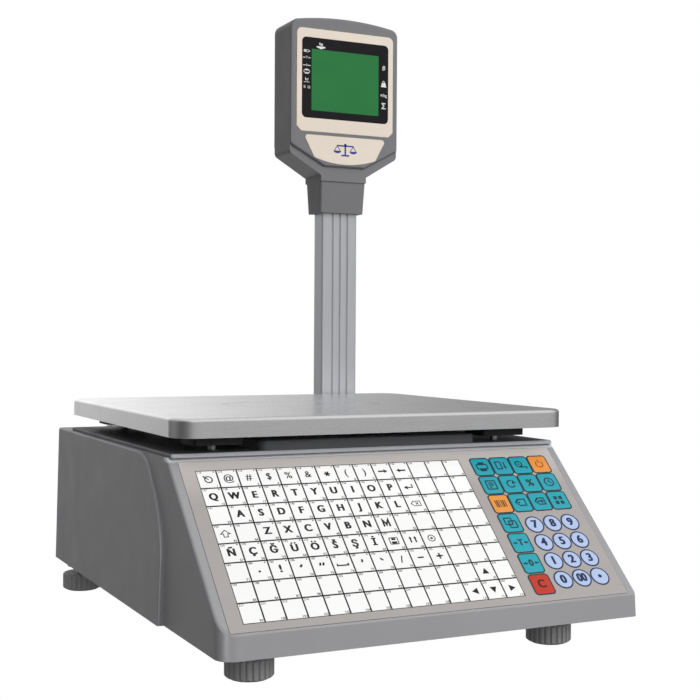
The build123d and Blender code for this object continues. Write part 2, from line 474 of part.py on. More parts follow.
bezel = prism_y(BEZEL, HEAD_FRONT, HEAD_FRONT + BEZEL_T)
bezel = fillet(edges_where(bezel, lambda c, e: c.Y < HEAD_FRONT + 0.01), 0.4)
bezel -= prism_y(WINDOW, HEAD_FRONT - 1, HEAD_FRONT + 3)
window = prism_y(WINDOW, HEAD_FRONT + 0.3, HEAD_FRONT + BEZEL_T)
window -= prism_y(LCD, HEAD_FRONT - 1, HEAD_FRONT + 3)
lcd = prism_y(LCD, HEAD_FRONT + 0.6, HEAD_FRONT + 6.6)
badge = prism_y(BADGE, HEAD_FRONT + 0.2, HEAD_FRONT + BEZEL_T)
PARTS["display_bezels"] = group([bezel, turned(bezel)])
PARTS["display_windows"] = group([window, turned(window)])
PARTS["display_lcds"] = group([lcd, turned(lcd)])
PARTS["display_badges"] = group([badge, turned(badge)])
board = box(HEAD_X - 46, HEAD_X + 46, SPLIT_Y - 0.8, SPLIT_Y + 0.8, 470, 560)
PARTS["display_board"] = board + box(HEAD_X - 20, HEAD_X + 20, SPLIT_Y - 5, SPLIT_Y - 0.8, 500, 512)


# ---- Feet ----------------------------------------------------------------------------------------
def foot_wheel(x, y):
    wheel = rod_z(0, 0, WHEEL_Z0, WHEEL_Z1, WHEEL_R)
    wheel = chamfer(wheel.edges().filter_by(GeomType.CIRCLE), 1.2)
    for i in range(WHEEL_RIBS):
        angle = 2 * pi * i / WHEEL_RIBS
        wheel -= rod_z(WHEEL_R * cos(angle), WHEEL_R * sin(angle), WHEEL_Z0 - 1, WHEEL_Z1 + 1, 1.3)
    wheel += rod_z(0, 0, WHEEL_Z1 - 1, 46, STUD_R)
    return Pos(x, y, 0) * (wheel - rod_z(0, 0, 0, WHEEL_Z0 + 4, 3.0 + RUN))


bosses = []
for corner, (x, y) in FEET.items():
    PARTS[f"foot_wheel_{corner}"] = foot_wheel(x, y)
    pad = chamfer(rod_z(x, y, 0, PAD_T, 15.0).edges().filter_by(GeomType.CIRCLE), 0.3)
    PARTS[f"foot_pad_{corner}"] = pad + rod_z(x, y, PAD_T - 0.5, WHEEL_Z0 + 3, 3.0)
    boss = rod_z(x, y, 22.5, SKIRT_Z, 14.0) + rod_z(x, y, SKIRT_Z, TRAY_Z0, 9.0)
    boss += rod_z(x, y, TRAY_Z0, TRAY_Z1 + 6, 6.9)
    bosses.append(boss - rod_z(x, y, 20, 60, STUD_R + THREAD_GAP))
PARTS["foot_bosses"] = group(bosses)


# ---- Label printer cassette ----------------------------------------------------------------------
FLOOR_Z0, FLOOR_Z1, FLOOR_X0 = 44.0, 46.0, 46.0
PANEL_X = HALF_W - WALL  # inner face of the drawer's front
rails = []
for side, edge in ((-1, -58.0), (1, 66.0)):
    web = sorted((edge + side * 1.0, edge + side * 3.0))
    lip = sorted((edge - side * 4.0, edge + side * 3.0))
    rail = box(50, 168, web[0], web[1], TRAY_Z1, 48.3)
    rail += box(50, 168, lip[0], lip[1], FLOOR_Z0 - 2.3, FLOOR_Z0 - 0.3)
    rail += box(50, 168, lip[0], lip[1], FLOOR_Z1 + 0.3, FLOOR_Z1 + 2.3)
    rails.append(rail + box(50, 168, lip[0], lip[1], TRAY_Z1, TRAY_Z1 + 2))
PARTS["printer_rails"] = group(rails)

chassis = box(FLOOR_X0, PANEL_X, -58, 66, FLOOR_Z0, FLOOR_Z1)
upright = outline((FLOOR_X0, FLOOR_Z1), (PANEL_X, FLOOR_Z1), (PANEL_X, 136), (112, 136), (FLOOR_X0, 104))
chassis += prism_y(upright, PLATE_Y[0], PLATE_Y[1])
chassis += box(PLATEN_X - 8, PLATEN_X + 8, -54, -51.5, FLOOR_Z1, PLATEN_Z + 8)
chassis += rod_y(ROLL_X, ROLL_Z, MEDIA_Y[0] - 2, PLATE_Y[0], SPINDLE_R)
chassis -= rod_y(ROLL_X, ROLL_Z, MEDIA_Y[0] - 3, PLATE_Y[1] + 1, SPINDLE_R - 2)
chassis += rod_y(SPOOL_X, SPOOL_Z, MEDIA_Y[0] - 2, PLATE_Y[0], 4.0)
chassis += rod_y(PIVOT_X, PIVOT_Z, MEDIA_Y[0] - 2, PLATE_Y[0], 3.0)
IDLER_X = PLATEN_X + (PLATEN_TEETH + IDLER_TEETH) / 2 * cos(radians(IDLER_ANGLE))
IDLER_Z = PLATEN_Z + (PLATEN_TEETH + IDLER_TEETH) / 2 * sin(radians(IDLER_ANGLE))
PINION_X, PINION_Z = IDLER_X - (IDLER_TEETH + PINION_TEETH) / 2, IDLER_Z
chassis += rod_y(IDLER_X, IDLER_Z, PLATE_Y[1], 27.0, 2.5)
MOTOR_Y = (29.0, 60.0)
for dx in (-14, 14):
    for dz in (-15.5, 15.5):
        chassis += rod_y(PINION_X + dx, PINION_Z + dz, PLATE_Y[1], MOTOR_Y[0], 2.5)
chassis -= rod_y(PLATEN_X, PLATEN_Z, -60, 30, 3.0 + RUN)
PARTS["printer_chassis"] = chassis


def gear(teeth, module, phase):
    """A spur gear with straight flanks in (x, z), one tooth centred on the angle phase in degrees."""
    pitch_r, half = teeth * module / 2, pi / teeth / 2
    steps = ((pitch_r - 1.05 * module, -1.30), (pitch_r, -0.82), (pitch_r + 0.72 * module, -0.40),
             (pitch_r + 0.72 * module, 0.40), (pitch_r, 0.82), (pitch_r - 1.05 * module, 1.30))
    points = []
    for i in range(teeth):
        middle = radians(phase) + 2 * pi * i / teeth
        points += [(r * cos(middle + share * half), r * sin(middle + share * half)) for r, share in steps]
    return outline(*points)


PLATEN_PHASE = IDLER_ANGLE
IDLER_PHASE = IDLER_ANGLE + 180 + 180 / IDLER_TEETH
# how far the idler's nearest tooth is from level on the pinion's side, which the pinion's gap must follow
IDLER_OFFSET = (180 - IDLER_PHASE) % (360 / IDLER_TEETH)
PINION_PHASE = 180 / PINION_TEETH + IDLER_OFFSET * IDLER_TEETH / PINION_TEETH

platen_gear = prism_y(Pos(PLATEN_X, PLATEN_Z) * gear(PLATEN_TEETH, 1.0, PLATEN_PHASE), GEAR_Y[0], GEAR_Y[1])
PARTS["platen_gear"] = platen_gear - rod_y(PLATEN_X, PLATEN_Z, 15, 30, 3.0)
idler = prism_y(Pos(IDLER_X, IDLER_Z) * gear(IDLER_TEETH, 1.0, IDLER_PHASE), GEAR_Y[0], GEAR_Y[1])
PARTS["idler_gear"] = idler - rod_y(IDLER_X, IDLER_Z, 15, 30, 2.5 + RUN)
pinion = prism_y(Pos(PINION_X, PINION_Z) * gear(PINION_TEETH, 1.0, PINION_PHASE), GEAR_Y[0], GEAR_Y[1])
PARTS["motor_pinion"] = pinion + rod_y(PINION_X, PINION_Z, GEAR_Y[0], MOTOR_Y[0] + 8, 2.0)

motor = prism_y(Pos(PINION_X, PINION_Z) * RectangleRounded(35, 35, 3), MOTOR_Y[0], MOTOR_Y[1])
motor -= prism_y(Pos(PINION_X, PINION_Z) * (Rectangle(40, 40) - RectangleRounded(33.5, 33.5, 3)), 37, 52)
PARTS["printer_motor"] = motor - rod_y(PINION_X, PINION_Z, MOTOR_Y[0] - 1, MOTOR_Y[0] + 9, 2.0 + RUN)

roller = rod_y(PLATEN_X, PLATEN_Z, MEDIA_Y[0] - 2, MEDIA_Y[1], PLATEN_R)
PARTS["platen_roller"] = roller + rod_y(PLATEN_X, PLATEN_Z, -55, GEAR_Y[1] + 1, 3.0)

roll = rod_y(ROLL_X, ROLL_Z, MEDIA_Y[0], MEDIA_Y[1], ROLL_R)
PARTS["label_roll"] = roll - rod_y(ROLL_X, ROLL_Z, -60, 20, SPINDLE_R + RUN)
spool = rod_y(SPOOL_X, SPOOL_Z, MEDIA_Y[0], MEDIA_Y[1], 8.0)
for y in (MEDIA_Y[0], MEDIA_Y[1] - 2):
    spool += rod_y(SPOOL_X, SPOOL_Z, y, y + 2, SPOOL_R)
PARTS["liner_spool"] = spool - rod_y(SPOOL_X, SPOOL_Z, -60, 20, 4.0 + RUN)

ARM_Z = PLATEN_Z + PLATEN_R + 6
PARTS["print_head"] = box(PLATEN_X - 7, PLATEN_X + 7, MEDIA_Y[0] + 1, MEDIA_Y[1] - 2,
                          PLATEN_Z + PLATEN_R + 0.3, ARM_Z)
arm = outline((PIVOT_X - 4, PIVOT_Z - 5), (PLATEN_X - 7, ARM_Z), (PLATEN_X + 7, ARM_Z),
              (PLATEN_X + 7, ARM_Z + 3), (PIVOT_X + 5, PIVOT_Z + 5), (PIVOT_X - 2, PIVOT_Z + 6))
arm = prism_y(arm, MEDIA_Y[0] + 1, MEDIA_Y[1] - 2)
arm += box(PLATEN_X - 1, PLATEN_X + 6, MEDIA_Y[0] - 8, MEDIA_Y[0] + 2, ARM_Z, ARM_Z + 3)
PARTS["head_arm"] = arm - rod_y(PIVOT_X, PIVOT_Z, -60, 20, 3.0 + RUN)

LATCH_Y, LATCH_Z = 46.0, 122.0
front_outline = RectangleRounded(BAY_W - 2 * BAY_GAP, BAY_H - 2 * BAY_GAP, 5.4)
panel = side_field(PANEL_X) & yz_block(PANEL_X - 1, 190, BAY_MID_Y, BAY_MID_Z, front_outline)
panel -= yz_block(PANEL_X - 1, 190, -17.0, 98.5, RectangleRounded(66, 8, 1.5))  # label slot
panel -= yz_block(PANEL_X - 1, 190, LATCH_Y, LATCH_Z, RectangleRounded(20.8, 12.8, 2.4))
panel -= yz_block(HALF_W, 190, -17.0, 62.0, RectangleRounded(60, 14, 5))  # grip recess
PARTS["drawer_front"] = panel
latch = side_field(PANEL_X - 2) & yz_block(PANEL_X - 2, 190, LATCH_Y, LATCH_Z, RectangleRounded(20, 12, 2))
latch += yz_block(PANEL_X - 3, PANEL_X - 0.5, LATCH_Y, LATCH_Z, RectangleRounded(26, 16, 2))
PARTS["drawer_latch"] = latch


# ---- Output --------------------------------------------------------------------------------------
os.makedirs("parts", exist_ok=True)
for name, shape in PARTS.items():
    export_step(shape, f"parts/{name}.step")
print(len(PARTS), "parts")
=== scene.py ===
"""Label printing scale: surface finishes, printed keypad and display details, studio and camera."""

import json
from math import cos, pi, radians, sin

import bmesh
import bpy
from mathutils import Matrix, Vector


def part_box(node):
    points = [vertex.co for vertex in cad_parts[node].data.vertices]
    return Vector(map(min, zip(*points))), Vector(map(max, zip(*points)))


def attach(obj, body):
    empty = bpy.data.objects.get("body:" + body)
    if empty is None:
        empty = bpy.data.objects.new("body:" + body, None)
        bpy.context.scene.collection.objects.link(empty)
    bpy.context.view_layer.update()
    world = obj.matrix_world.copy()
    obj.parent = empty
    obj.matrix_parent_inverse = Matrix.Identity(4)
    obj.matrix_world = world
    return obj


MM = 0.001
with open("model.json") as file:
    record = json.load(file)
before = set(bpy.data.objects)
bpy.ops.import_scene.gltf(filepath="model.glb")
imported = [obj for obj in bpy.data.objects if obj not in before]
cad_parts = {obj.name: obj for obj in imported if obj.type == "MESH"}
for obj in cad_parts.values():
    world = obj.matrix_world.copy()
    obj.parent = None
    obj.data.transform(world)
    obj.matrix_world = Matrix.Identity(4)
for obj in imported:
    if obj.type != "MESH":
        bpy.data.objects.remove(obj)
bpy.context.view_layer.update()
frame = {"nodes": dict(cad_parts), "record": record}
NODES = frame["nodes"]


# ---------------------------------------------------------------- finishes


def linear(code):
    """Linear RGBA of a six digit sRGB colour code."""
    shares = [int(code[i:i + 2], 16) / 255 for i in (0, 2, 4)]
    return [c / 12.92 if c <= 0.04045 else ((c + 0.055) / 1.055) ** 2.4 for c in shares] + [1.0]


def toned(colour, share):
    return [min(1.0, c * share) for c in colour[:3]] + [1.0]


class Finish:
    """A Principled material whose colour, roughness and relief come from textures in object space."""

    def __init__(self, name, **sockets):
        self.material = bpy.data.materials.new(name)
        self.material.use_nodes = True
        self.nodes = self.material.node_tree.nodes
        self.links = self.material.node_tree.links
        self.shader = self.nodes["Principled BSDF"]
        self.coords = self.nodes.new("ShaderNodeTexCoord").outputs["Object"]
        self.normal = None
        for socket, value in sockets.items():
            self.shader.inputs[socket.replace("_", " ")].default_value = value

    def placed(self, scale=(1, 1, 1), origin=(0, 0, 0), turn=(0, 0, 0)):
        """Texture coordinates about a point given in mm, stretched and turned."""
        node = self.nodes.new("ShaderNodeMapping")
        node.vector_type = "TEXTURE"
        node.inputs["Location"].default_value = Vector(origin) * MM
        node.inputs["Rotation"].default_value = [radians(a) for a in turn]
        node.inputs["Scale"].default_value = scale
        self.links.new(self.coords, node.inputs["Vector"])
        return node.outputs[0]

    def noise(self, size, detail=3.0, stretch=None, distortion=0.0):
        """Cloudy noise with features about size mm across."""
        node = self.nodes.new("ShaderNodeTexNoise")
        node.inputs["Scale"].default_value = 1 / (size * MM)
        node.inputs["Detail"].default_value = detail
        node.inputs["Distortion"].default_value = distortion
        self.links.new(self.placed(stretch) if stretch else self.coords, node.inputs["Vector"])
        return node.outputs[0]

    def cells(self, size, feature="F1"):
        node = self.nodes.new("ShaderNodeTexVoronoi")
        node.feature = feature
        node.inputs["Scale"].default_value = 1 / (size * MM)
        self.links.new(self.coords, node.inputs["Vector"])
        return node.outputs[0]

    def bands(self, size, direction="X", kind="BANDS", distortion=0.0, vector=None):
        """Stripes or rings that repeat every size mm."""
        node = self.nodes.new("ShaderNodeTexWave")
        node.wave_type = kind
        setattr(node, "bands_direction" if kind == "BANDS" else "rings_direction", direction)
        node.inputs["Scale"].default_value = pi / 10 / (size * MM)
        node.inputs["Distortion"].default_value = distortion
        self.links.new(vector or self.coords, node.inputs["Vector"])
        return node.outputs["Fac"]

    def span(self, value, low, high, start=0.25, stop=0.75):
        """value, which runs from start to stop, moved to run from low to high."""
        node = self.nodes.new("ShaderNodeMapRange")
        for socket, number in zip(node.inputs[1:5], (start, stop, low, high)):
            socket.default_value = number
        self.links.new(value, node.inputs[0])
        return node.outputs[0]

    def rise(self, low, high, axis="Z"):
        """0 at the height low and 1 at the height high, in mm, or the same along another axis."""
        node = self.nodes.new("ShaderNodeSeparateXYZ")
        self.links.new(self.coords, node.inputs[0])
        return self.span(node.outputs[axis], 0, 1, low * MM, high * MM)

    def sideways(self):
        """0 on faces across Y or Z, 1 on faces across X."""
        node = self.nodes.new("ShaderNodeSeparateXYZ")
        self.links.new(self.nodes.new("ShaderNodeNewGeometry").outputs["Normal"], node.inputs[0])
        return self.span(self.maths("ABSOLUTE", node.outputs["X"], 0), 0, 1, 0.4, 0.9)

    def maths(self, operation, a, b):
        node = self.nodes.new("ShaderNodeMath")
        node.operation = operation
        for socket, value in zip(node.inputs, (a, b)):
            if isinstance(value, (int, float)):
                socket.default_value = value
            else:
                self.links.new(value, socket)
        return node.outputs[0]

    def mixed(self, factor, a, b):
        node = self.nodes.new("ShaderNodeMix")
        node.data_type = "RGBA"
        self.links.new(factor, node.inputs[0])
        for socket, value in zip(node.inputs[6:8], (a, b)):
            if isinstance(value, (list, tuple)):
                socket.default_value = value
            else:
                self.links.new(value, socket)
        return node.outputs[2]

    def colour(self, output):
        self.links.new(output, self.shader.inputs["Base Color"])
        return self

    def roughness(self, output):
        self.links.new(output, self.shader.inputs["Roughness"])
        return self

    def soft_edges(self, radius):
        """Sharp edges catch light as though they were rounded by radius mm."""
        node = self.nodes.new("ShaderNodeBevel")
        node.samples = 4
        node.inputs["Radius"].default_value = radius * MM
        self.normal = node.outputs[0]
        return self

    def near_edges(self, radius, breakup):
        """Share of the surface near edges, broken up by a texture; it places edge wear, and on moulded
        shells also a painted highlight.
        """
        bevel = self.nodes.new("ShaderNodeBevel")
        bevel.samples = 4
        bevel.inputs["Radius"].default_value = radius * MM
        dot = self.nodes.new("ShaderNodeVectorMath")
        dot.operation = "DOT_PRODUCT"
        self.links.new(bevel.outputs[0], dot.inputs[0])
        self.links.new(self.nodes.new("ShaderNodeNewGeometry").outputs["Normal"], dot.inputs[1])
        return self.maths("MULTIPLY", self.span(dot.outputs["Value"], 1, 0, 0.75, 0.985), breakup)

    def relief(self, height, depth):
        """Bump of depth mm, laid over any relief that is there already."""
        node = self.nodes.new("ShaderNodeBump")
        node.inputs["Strength"].default_value = 1.0
        node.inputs["Distance"].default_value = depth * MM
        self.links.new(height, node.inputs["Height"])
        if self.normal:
            self.links.new(self.normal, node.inputs["Normal"])
        self.normal = node.outputs[0]
        return self

    def done(self):
        if self.normal:
            self.links.new(self.normal, self.shader.inputs["Normal"])
        return self.material


def moulded(name, code, rough=0.5, grain=0.45, depth=0.012, edge=0.4, wear_and_highlight=1.25, rim_highlight=None, **sockets):
    """Injection moulding: spark-eroded grain, slow colour drift, handling sheen, and paler edges that are
    partly wear and partly a painted highlight.

    The rim factor paints a highlight: it is a factor on the colour, a y and a height, for what is in front
    of that y and above that height.
    """
    f = Finish(name, **sockets)
    base = linear(code)
    drift = f.noise(85, 4)
    fleck = f.noise(grain * 1.4, 2)
    body = f.mixed(f.span(drift, 0, 1), toned(base, 0.955), toned(base, 1.045))
    body = f.mixed(f.span(fleck, 0, 0.35), body, toned(base, 1.16))
    # painted highlight: a paler band along the top front edge
    if rim_highlight:
        factor, y, z = rim_highlight
        above, ahead = f.rise(z, z + 2), f.rise(y, y - 1.2, "Y")
        body = f.mixed(f.maths("MULTIPLY", above, ahead), body, toned(base, factor))
    scuffs = f.span(f.noise(9, 6, distortion=0.6), 0, 0.6, 0.45, 0.7)
    # paler edges: partly wear, partly a painted highlight
    f.colour(f.mixed(f.near_edges(0.9, scuffs), body, toned(base, wear_and_highlight)))
    f.roughness(f.span(f.noise(26, 5), rough - 0.06, rough + 0.07))
    f.soft_edges(edge)
    f.relief(f.noise(grain, 2), depth)
    return f.relief(f.noise(55, 1), 0.05).done()


def brushed(name, code, rough=0.3, stretch=(30, 1, 1), stroke=0.22, depth=0.0035, edge=0.5, side_light=1.0,
            smears=0.07):
    """Bare metal with fine drawn strokes, faint smears and bright edges; the side factor is painted light
    that makes the faces across X lighter.
    """
    f = Finish(name, Metallic=1.0)
    base = linear(code)
    fine = f.noise(stroke, 3, stretch)
    broad = f.noise(stroke * 9, 3, stretch)
    body = f.mixed(f.span(broad, 0, 1), toned(base, 0.95), toned(base, 1.05))
    body = f.mixed(f.span(fine, 0, 0.5), body, toned(base, 0.88))
    # painted light: faces across X made lighter by the side factor
    body = f.mixed(f.sideways(), body, toned(base, side_light))
    f.colour(f.mixed(f.near_edges(1.1, f.span(broad, 0.3, 0.8)), body, toned(base, 1.2)))
    smear = f.span(f.noise(38, 6, distortion=0.8), 0, smears, 0.4, 0.7)
    f.roughness(f.maths("ADD", f.span(fine, rough - 0.05, rough + 0.05), smear))
    f.soft_edges(edge)
    return f.relief(fine, depth).done()


def cast(name, code, rough=0.5, metallic=1.0, grain=1.1, depth=0.05):
    """Sand or die casting: pebbled skin, machining haze and dark pores."""
    f = Finish(name, Metallic=metallic)
    base = linear(code)
    pores = f.span(f.cells(grain * 1.8), 0, 1, 0.03, 0.12)
    skin = f.noise(grain, 4)
    body = f.mixed(f.span(skin, 0, 1), toned(base, 0.88), toned(base, 1.1))
    body = f.mixed(pores, toned(base, 0.55), body)
    f.colour(f.mixed(f.near_edges(0.8, f.span(skin, 0.2, 0.9)), body, toned(base, 1.5)))
    f.roughness(f.span(f.noise(7, 4), rough - 0.08, rough + 0.1))
    f.soft_edges(0.4)
    return f.relief(skin, depth).done()


def coated(name, code, rough=0.45):
    """Powder coat over sheet: orange peel and rubbed edges."""
    f = Finish(name)
    base = linear(code)
    peel = f.noise(1.6, 2)
    body = f.mixed(f.span(f.noise(60, 3), 0, 1), toned(base, 0.93), toned(base, 1.07))
    f.colour(f.mixed(f.near_edges(0.7, f.span(f.noise(5, 5), 0, 1, 0.5, 0.65)), body, toned(base, 1.7)))
    f.roughness(f.span(peel, rough - 0.05, rough + 0.06))
    f.soft_edges(0.3)
    return f.relief(peel, 0.03).done()


def plated(name, code, rough=0.35, grain=3.5):
    """Zinc plate: crystalline patches and light scratches."""
    f = Finish(name, Metallic=1.0)
    base = linear(code)
    spangle = f.cells(grain)
    scratch = f.noise(0.5, 3, (22, 1, 3))
    body = f.mixed(f.span(spangle, 0, 1, 0.1, 0.7), toned(base, 0.84), toned(base, 1.12))
    f.colour(f.mixed(f.span(scratch, 0, 0.4, 0.55, 0.75), body, toned(base, 1.3)))
    f.roughness(f.span(f.noise(4, 4), rough - 0.08, rough + 0.1))
    f.soft_edges(0.25)
    return f.relief(scratch, 0.004).done()


def paper(name, code, rough):
    """Card stock with fibres and a faint cloud, with painted light that makes it a little brighter towards
    its upper end, against the pan's shadow there.
    """
    f = Finish(name)
    base = linear(code)
    cloud = f.noise(30, 3)
    fibres = f.noise(0.35, 4, (3, 1, 1), 1.5)
    body = f.mixed(f.span(cloud, 0, 1), toned(base, 0.985), toned(base, 1.01))
    # painted light: brighter towards the pan, where its shadow falls
    body = f.mixed(f.rise(100, 150), body, toned(base, 1.14))
    f.colour(f.mixed(f.span(fibres, 0, 0.25), body, toned(base, 0.95)))
    f.roughness(f.span(fibres, rough - 0.05, rough + 0.05))
    return f.relief(fibres, 0.004).done()


def ink(name, code):
    """Screen-printed ink: slightly uneven coverage."""
    f = Finish(name, Specular_IOR_Level=0.4)
    base = linear(code)
    cover = f.noise(0.3, 3)
    f.colour(f.mixed(f.span(cover, 0, 1), toned(base, 0.93), toned(base, 1.07)))
    f.roughness(f.span(f.noise(4, 3), 0.37, 0.48))
    return f.relief(cover, 0.003).done()


def key_film(name, code):
    """Embossed printed key: satin film with a fine matt texture and a fingertip shine in places."""
    f = Finish(name, Specular_IOR_Level=0.45)
    base = linear(code)
    cover = f.noise(0.4, 3)
    touch = f.noise(11, 4)
    body = f.mixed(f.span(cover, 0, 1), toned(base, 0.96), toned(base, 1.04))
    f.colour(f.mixed(f.span(touch, 0, 0.3, 0.4, 0.7), body, toned(base, 0.92)))
    f.roughness(f.span(touch, 0.48, 0.36))
    f.relief(f.noise(0.16, 2), 0.004)
    return f.done()


def film(name, code):
    """Printed polyester: fine matt texture with wiping marks, and painted light that makes it paler towards
    its upper end, against the pan's shadow there.
    """
    f = Finish(name, Specular_IOR_Level=0.45)
    base = linear(code)
    wipe = f.noise(14, 5, (5, 1, 1), 0.8)
    fleck = f.noise(0.5, 2)
    body = f.mixed(f.span(wipe, 0, 1), toned(base, 0.955), toned(base, 1.005))
    # painted light: paler towards the pan, where its shadow falls
    body = f.mixed(f.rise(124, 152), body, toned(base, 1.55))
    f.colour(f.mixed(f.span(fleck, 0, 0.3), body, toned(base, 0.94)))
    f.roughness(f.span(wipe, 0.4, 0.5))
    f.soft_edges(0.25)
    return f.relief(f.noise(0.18, 2), 0.004).done()


def lens(name, code):
    """Gloss black lens with faint wiping streaks."""
    f = Finish(name, Coat_Weight=0.05, Coat_Roughness=0.1, Specular_IOR_Level=0.1)
    base = linear(code)
    wipe = f.noise(9, 5, (4, 1, 1), 1.0)
    f.colour(f.mixed(f.span(wipe, 0, 1), base, toned(base, 1.25)))
    f.roughness(f.span(wipe, 0.22, 0.34))
    return f.relief(f.noise(20, 1), 0.01).done()


def crystal(name, code):
    """Lit liquid crystal panel: cell grid and diffuser cloud."""
    base = linear(code)
    f = Finish(name, Emission_Strength=0.22, Specular_IOR_Level=0.1)
    pixels = f.maths("MULTIPLY", f.bands(0.55, "X"), f.bands(0.55, "Z"))
    glow = f.noise(45, 2)
    body = f.mixed(f.span(glow, 0, 1), toned(base, 0.95), toned(base, 1.05))
    body = f.mixed(f.span(pixels, 0.25, 0, 0.0, 0.5), body, toned(base, 0.72))
    f.colour(body)
    f.links.new(body, f.shader.inputs["Emission Color"])
    f.roughness(f.span(f.noise(8, 4), 0.28, 0.4))
    return f.relief(pixels, 0.002).done()


def board(name, code):
    """Solder mask with buried tracks and vias."""
    f = Finish(name, Specular_IOR_Level=0.6)
    base = linear(code)
    along = f.bands(1.9, "X", distortion=1.5)
    across = f.bands(2.3, "Y", distortion=1.5)
    tracks = f.maths("MAXIMUM", f.span(along, 0, 1, 0.8, 0.86), f.span(across, 0, 1, 0.82, 0.88))
    vias = f.span(f.cells(3.1), 1, 0, 0.1, 0.13)
    body = f.mixed(tracks, base, toned(base, 1.8))
    f.colour(f.mixed(vias, body, linear("c9a86a")))
    f.roughness(f.span(f.noise(5, 3), 0.22, 0.4))
    f.relief(tracks, 0.03)
    return f.done()


def gripped(name, code):
    """Rubber with dust in its grain."""
    f = Finish(name)
    base = linear(code)
    dust = f.noise(6, 6, distortion=0.4)
    grain = f.noise(0.5, 3)
    body = f.mixed(f.span(grain, 0, 1), toned(base, 0.85), toned(base, 1.2))
    f.colour(f.mixed(f.span(dust, 0, 0.22, 0.5, 0.72), body, linear("8a8780")))
    f.roughness(f.span(dust, 0.67, 0.83))
    f.soft_edges(0.3)
    return f.relief(grain, 0.02).done()


def wound(name, code, axis_at):
    """Paper wound on a roll: its turns show as rings on the ends and as fine lines round it."""
    f = Finish(name)
    base = linear(code)
    rings = f.bands(0.42, "Y", "RINGS", 0.6, f.placed(origin=axis_at))
    tone = f.span(rings, 0, 1, 0.1, 0.9)
    body = f.mixed(tone, toned(base, 0.8), base)
    f.colour(f.mixed(f.span(f.noise(5, 4), 0, 0.2), body, toned(base, 0.9)))
    f.roughness(f.span(f.noise(3, 3), 0.55, 0.7))
    return f.relief(rings, 0.02).done()


def liquid(name, code):
    """Tinted level fluid under a clear domed lens."""
    f = Finish(name, Coat_Weight=1.0, Coat_Roughness=0.03, Transmission_Weight=0.35, IOR=1.45)
    base = linear(code)
    f.colour(f.mixed(f.span(f.noise(6, 2), 0, 1), toned(base, 0.9), toned(base, 1.1)))
    f.roughness(f.span(f.noise(3, 3), 0.06, 0.14))
    return f.relief(f.noise(9, 1), 0.01).done()


ROLL_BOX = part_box("label_roll")
ROLL_AXIS = [c / MM for c in (ROLL_BOX[0] + ROLL_BOX[1]) / 2]

FINISHES = {
    # the rim factors here and on the deck paint a highlight along the top front edges of the housing and
    # the cover
    "housing_plastic": moulded("housing_plastic", "949497", 0.46, wear_and_highlight=1.3, rim_highlight=(2.4, -110, 151.5)),
    "head_plastic": moulded("head_plastic", "727275", 0.45, grain=0.35, depth=0.008, wear_and_highlight=1.6),
    "deck_plastic": moulded("deck_plastic", "5a5b5e", 0.5, wear_and_highlight=1.5, rim_highlight=(4.2, -118.4, 153.0)),
    "stainless_pan": brushed("stainless_pan", "efeff0", 0.27, (40, 1, 1), depth=0.0008, smears=0.03),
    "tray_steel": coated("tray_steel", "6a6b6e"),
    "spider_paint": cast("spider_paint", "2a2b2d", 0.55, 0.0, 0.9, 0.06),
    "cast_aluminium": cast("cast_aluminium", "b4b6b9", 0.42),
    # the last factor, 1.01, is painted light that makes the pole's side faces a shade lighter
    "pole_aluminium": brushed("pole_aluminium", "dee0e4", 0.42, (1, 1, 40), 0.2, 0.003, 0.3, 1.01),
    "bracket_steel": plated("bracket_steel", "b7b9bb"),
    "fastener_steel": plated("fastener_steel", "c2c3c4", 0.28, 1.5),
    "overlay_film": film("overlay_film", "a49f9c"),
    "card": paper("card", "eeeeed", 0.5),
    "dome_film": film("dome_film", "d8d6cf"),
    "circuit_board": board("circuit_board", "1f5a35"),
    "psu_case": plated("psu_case", "c4c6c8", 0.4, 6.0),
    "black_plastic": moulded("black_plastic", "26272a", 0.5, 0.3, 0.01, wear_and_highlight=1.7),
    "rocker_plastic": moulded("rocker_plastic", "b3261c", 0.35, 0.3, 0.004, Coat_Weight=0.3),
    "vial_liquid": liquid("vial_liquid", "b9d63c"),
    "beige_trim": moulded("beige_trim", "e3d6c7", 0.42, 0.3, 0.006, wear_and_highlight=1.04),
    "black_lens": lens("black_lens", "18181a"),
    "lcd_green": crystal("lcd_green", "266f3b"),
    "foot_plastic": moulded("foot_plastic", "a8a8a8", 0.55, 0.4, 0.015, wear_and_highlight=1.3),
    "rubber": gripped("rubber", "2b2b2c"),
    "gear_plastic": moulded("gear_plastic", "e6e3da", 0.38, 0.4, 0.004, wear_and_highlight=1.02),
    "label_paper": wound("label_paper", "f2f1ea", ROLL_AXIS),
    "head_ceramic": coated("head_ceramic", "d6d3ca", 0.25),
}

for part in frame["record"]["subparts"]:
    mesh = NODES[part["node"]].data
    mesh.materials.clear()
    mesh.materials.append(FINISHES[part["material_slot"]])


# ---------------------------------------------------------------- drawing thin printed shapes

CAP_SHARE = 0.73  # height of a capital as a share of the letter size

def rounded(width, height, radius, steps=5):
    """Outline of a rounded rectangle about the origin, anticlockwise."""
    points = []
    for quarter, (sx, sy) in enumerate(((1, 1), (-1, 1), (-1, -1), (1, -1))):
        for k in range(steps + 1):
            angle = (quarter + k / steps) * pi / 2
            points.append((sx * (width / 2 - radius) + radius * cos(angle),
                           sy * (height / 2 - radius) + radius * sin(angle)))
    return points


def round_outline(radius, steps=40):
    return [(radius * cos(2 * pi * k / steps), radius * sin(2 * pi * k / steps)) for k in range(steps)]


def arc_points(radius, start, end, steps=16):
    angles = [radians(start + (end - start) * k / steps) for k in range(steps + 1)]
    return [(radius * cos(a), radius * sin(a)) for a in angles]


def moved(points, u, v):
    return [(x + u, y + v) for x, y in points]


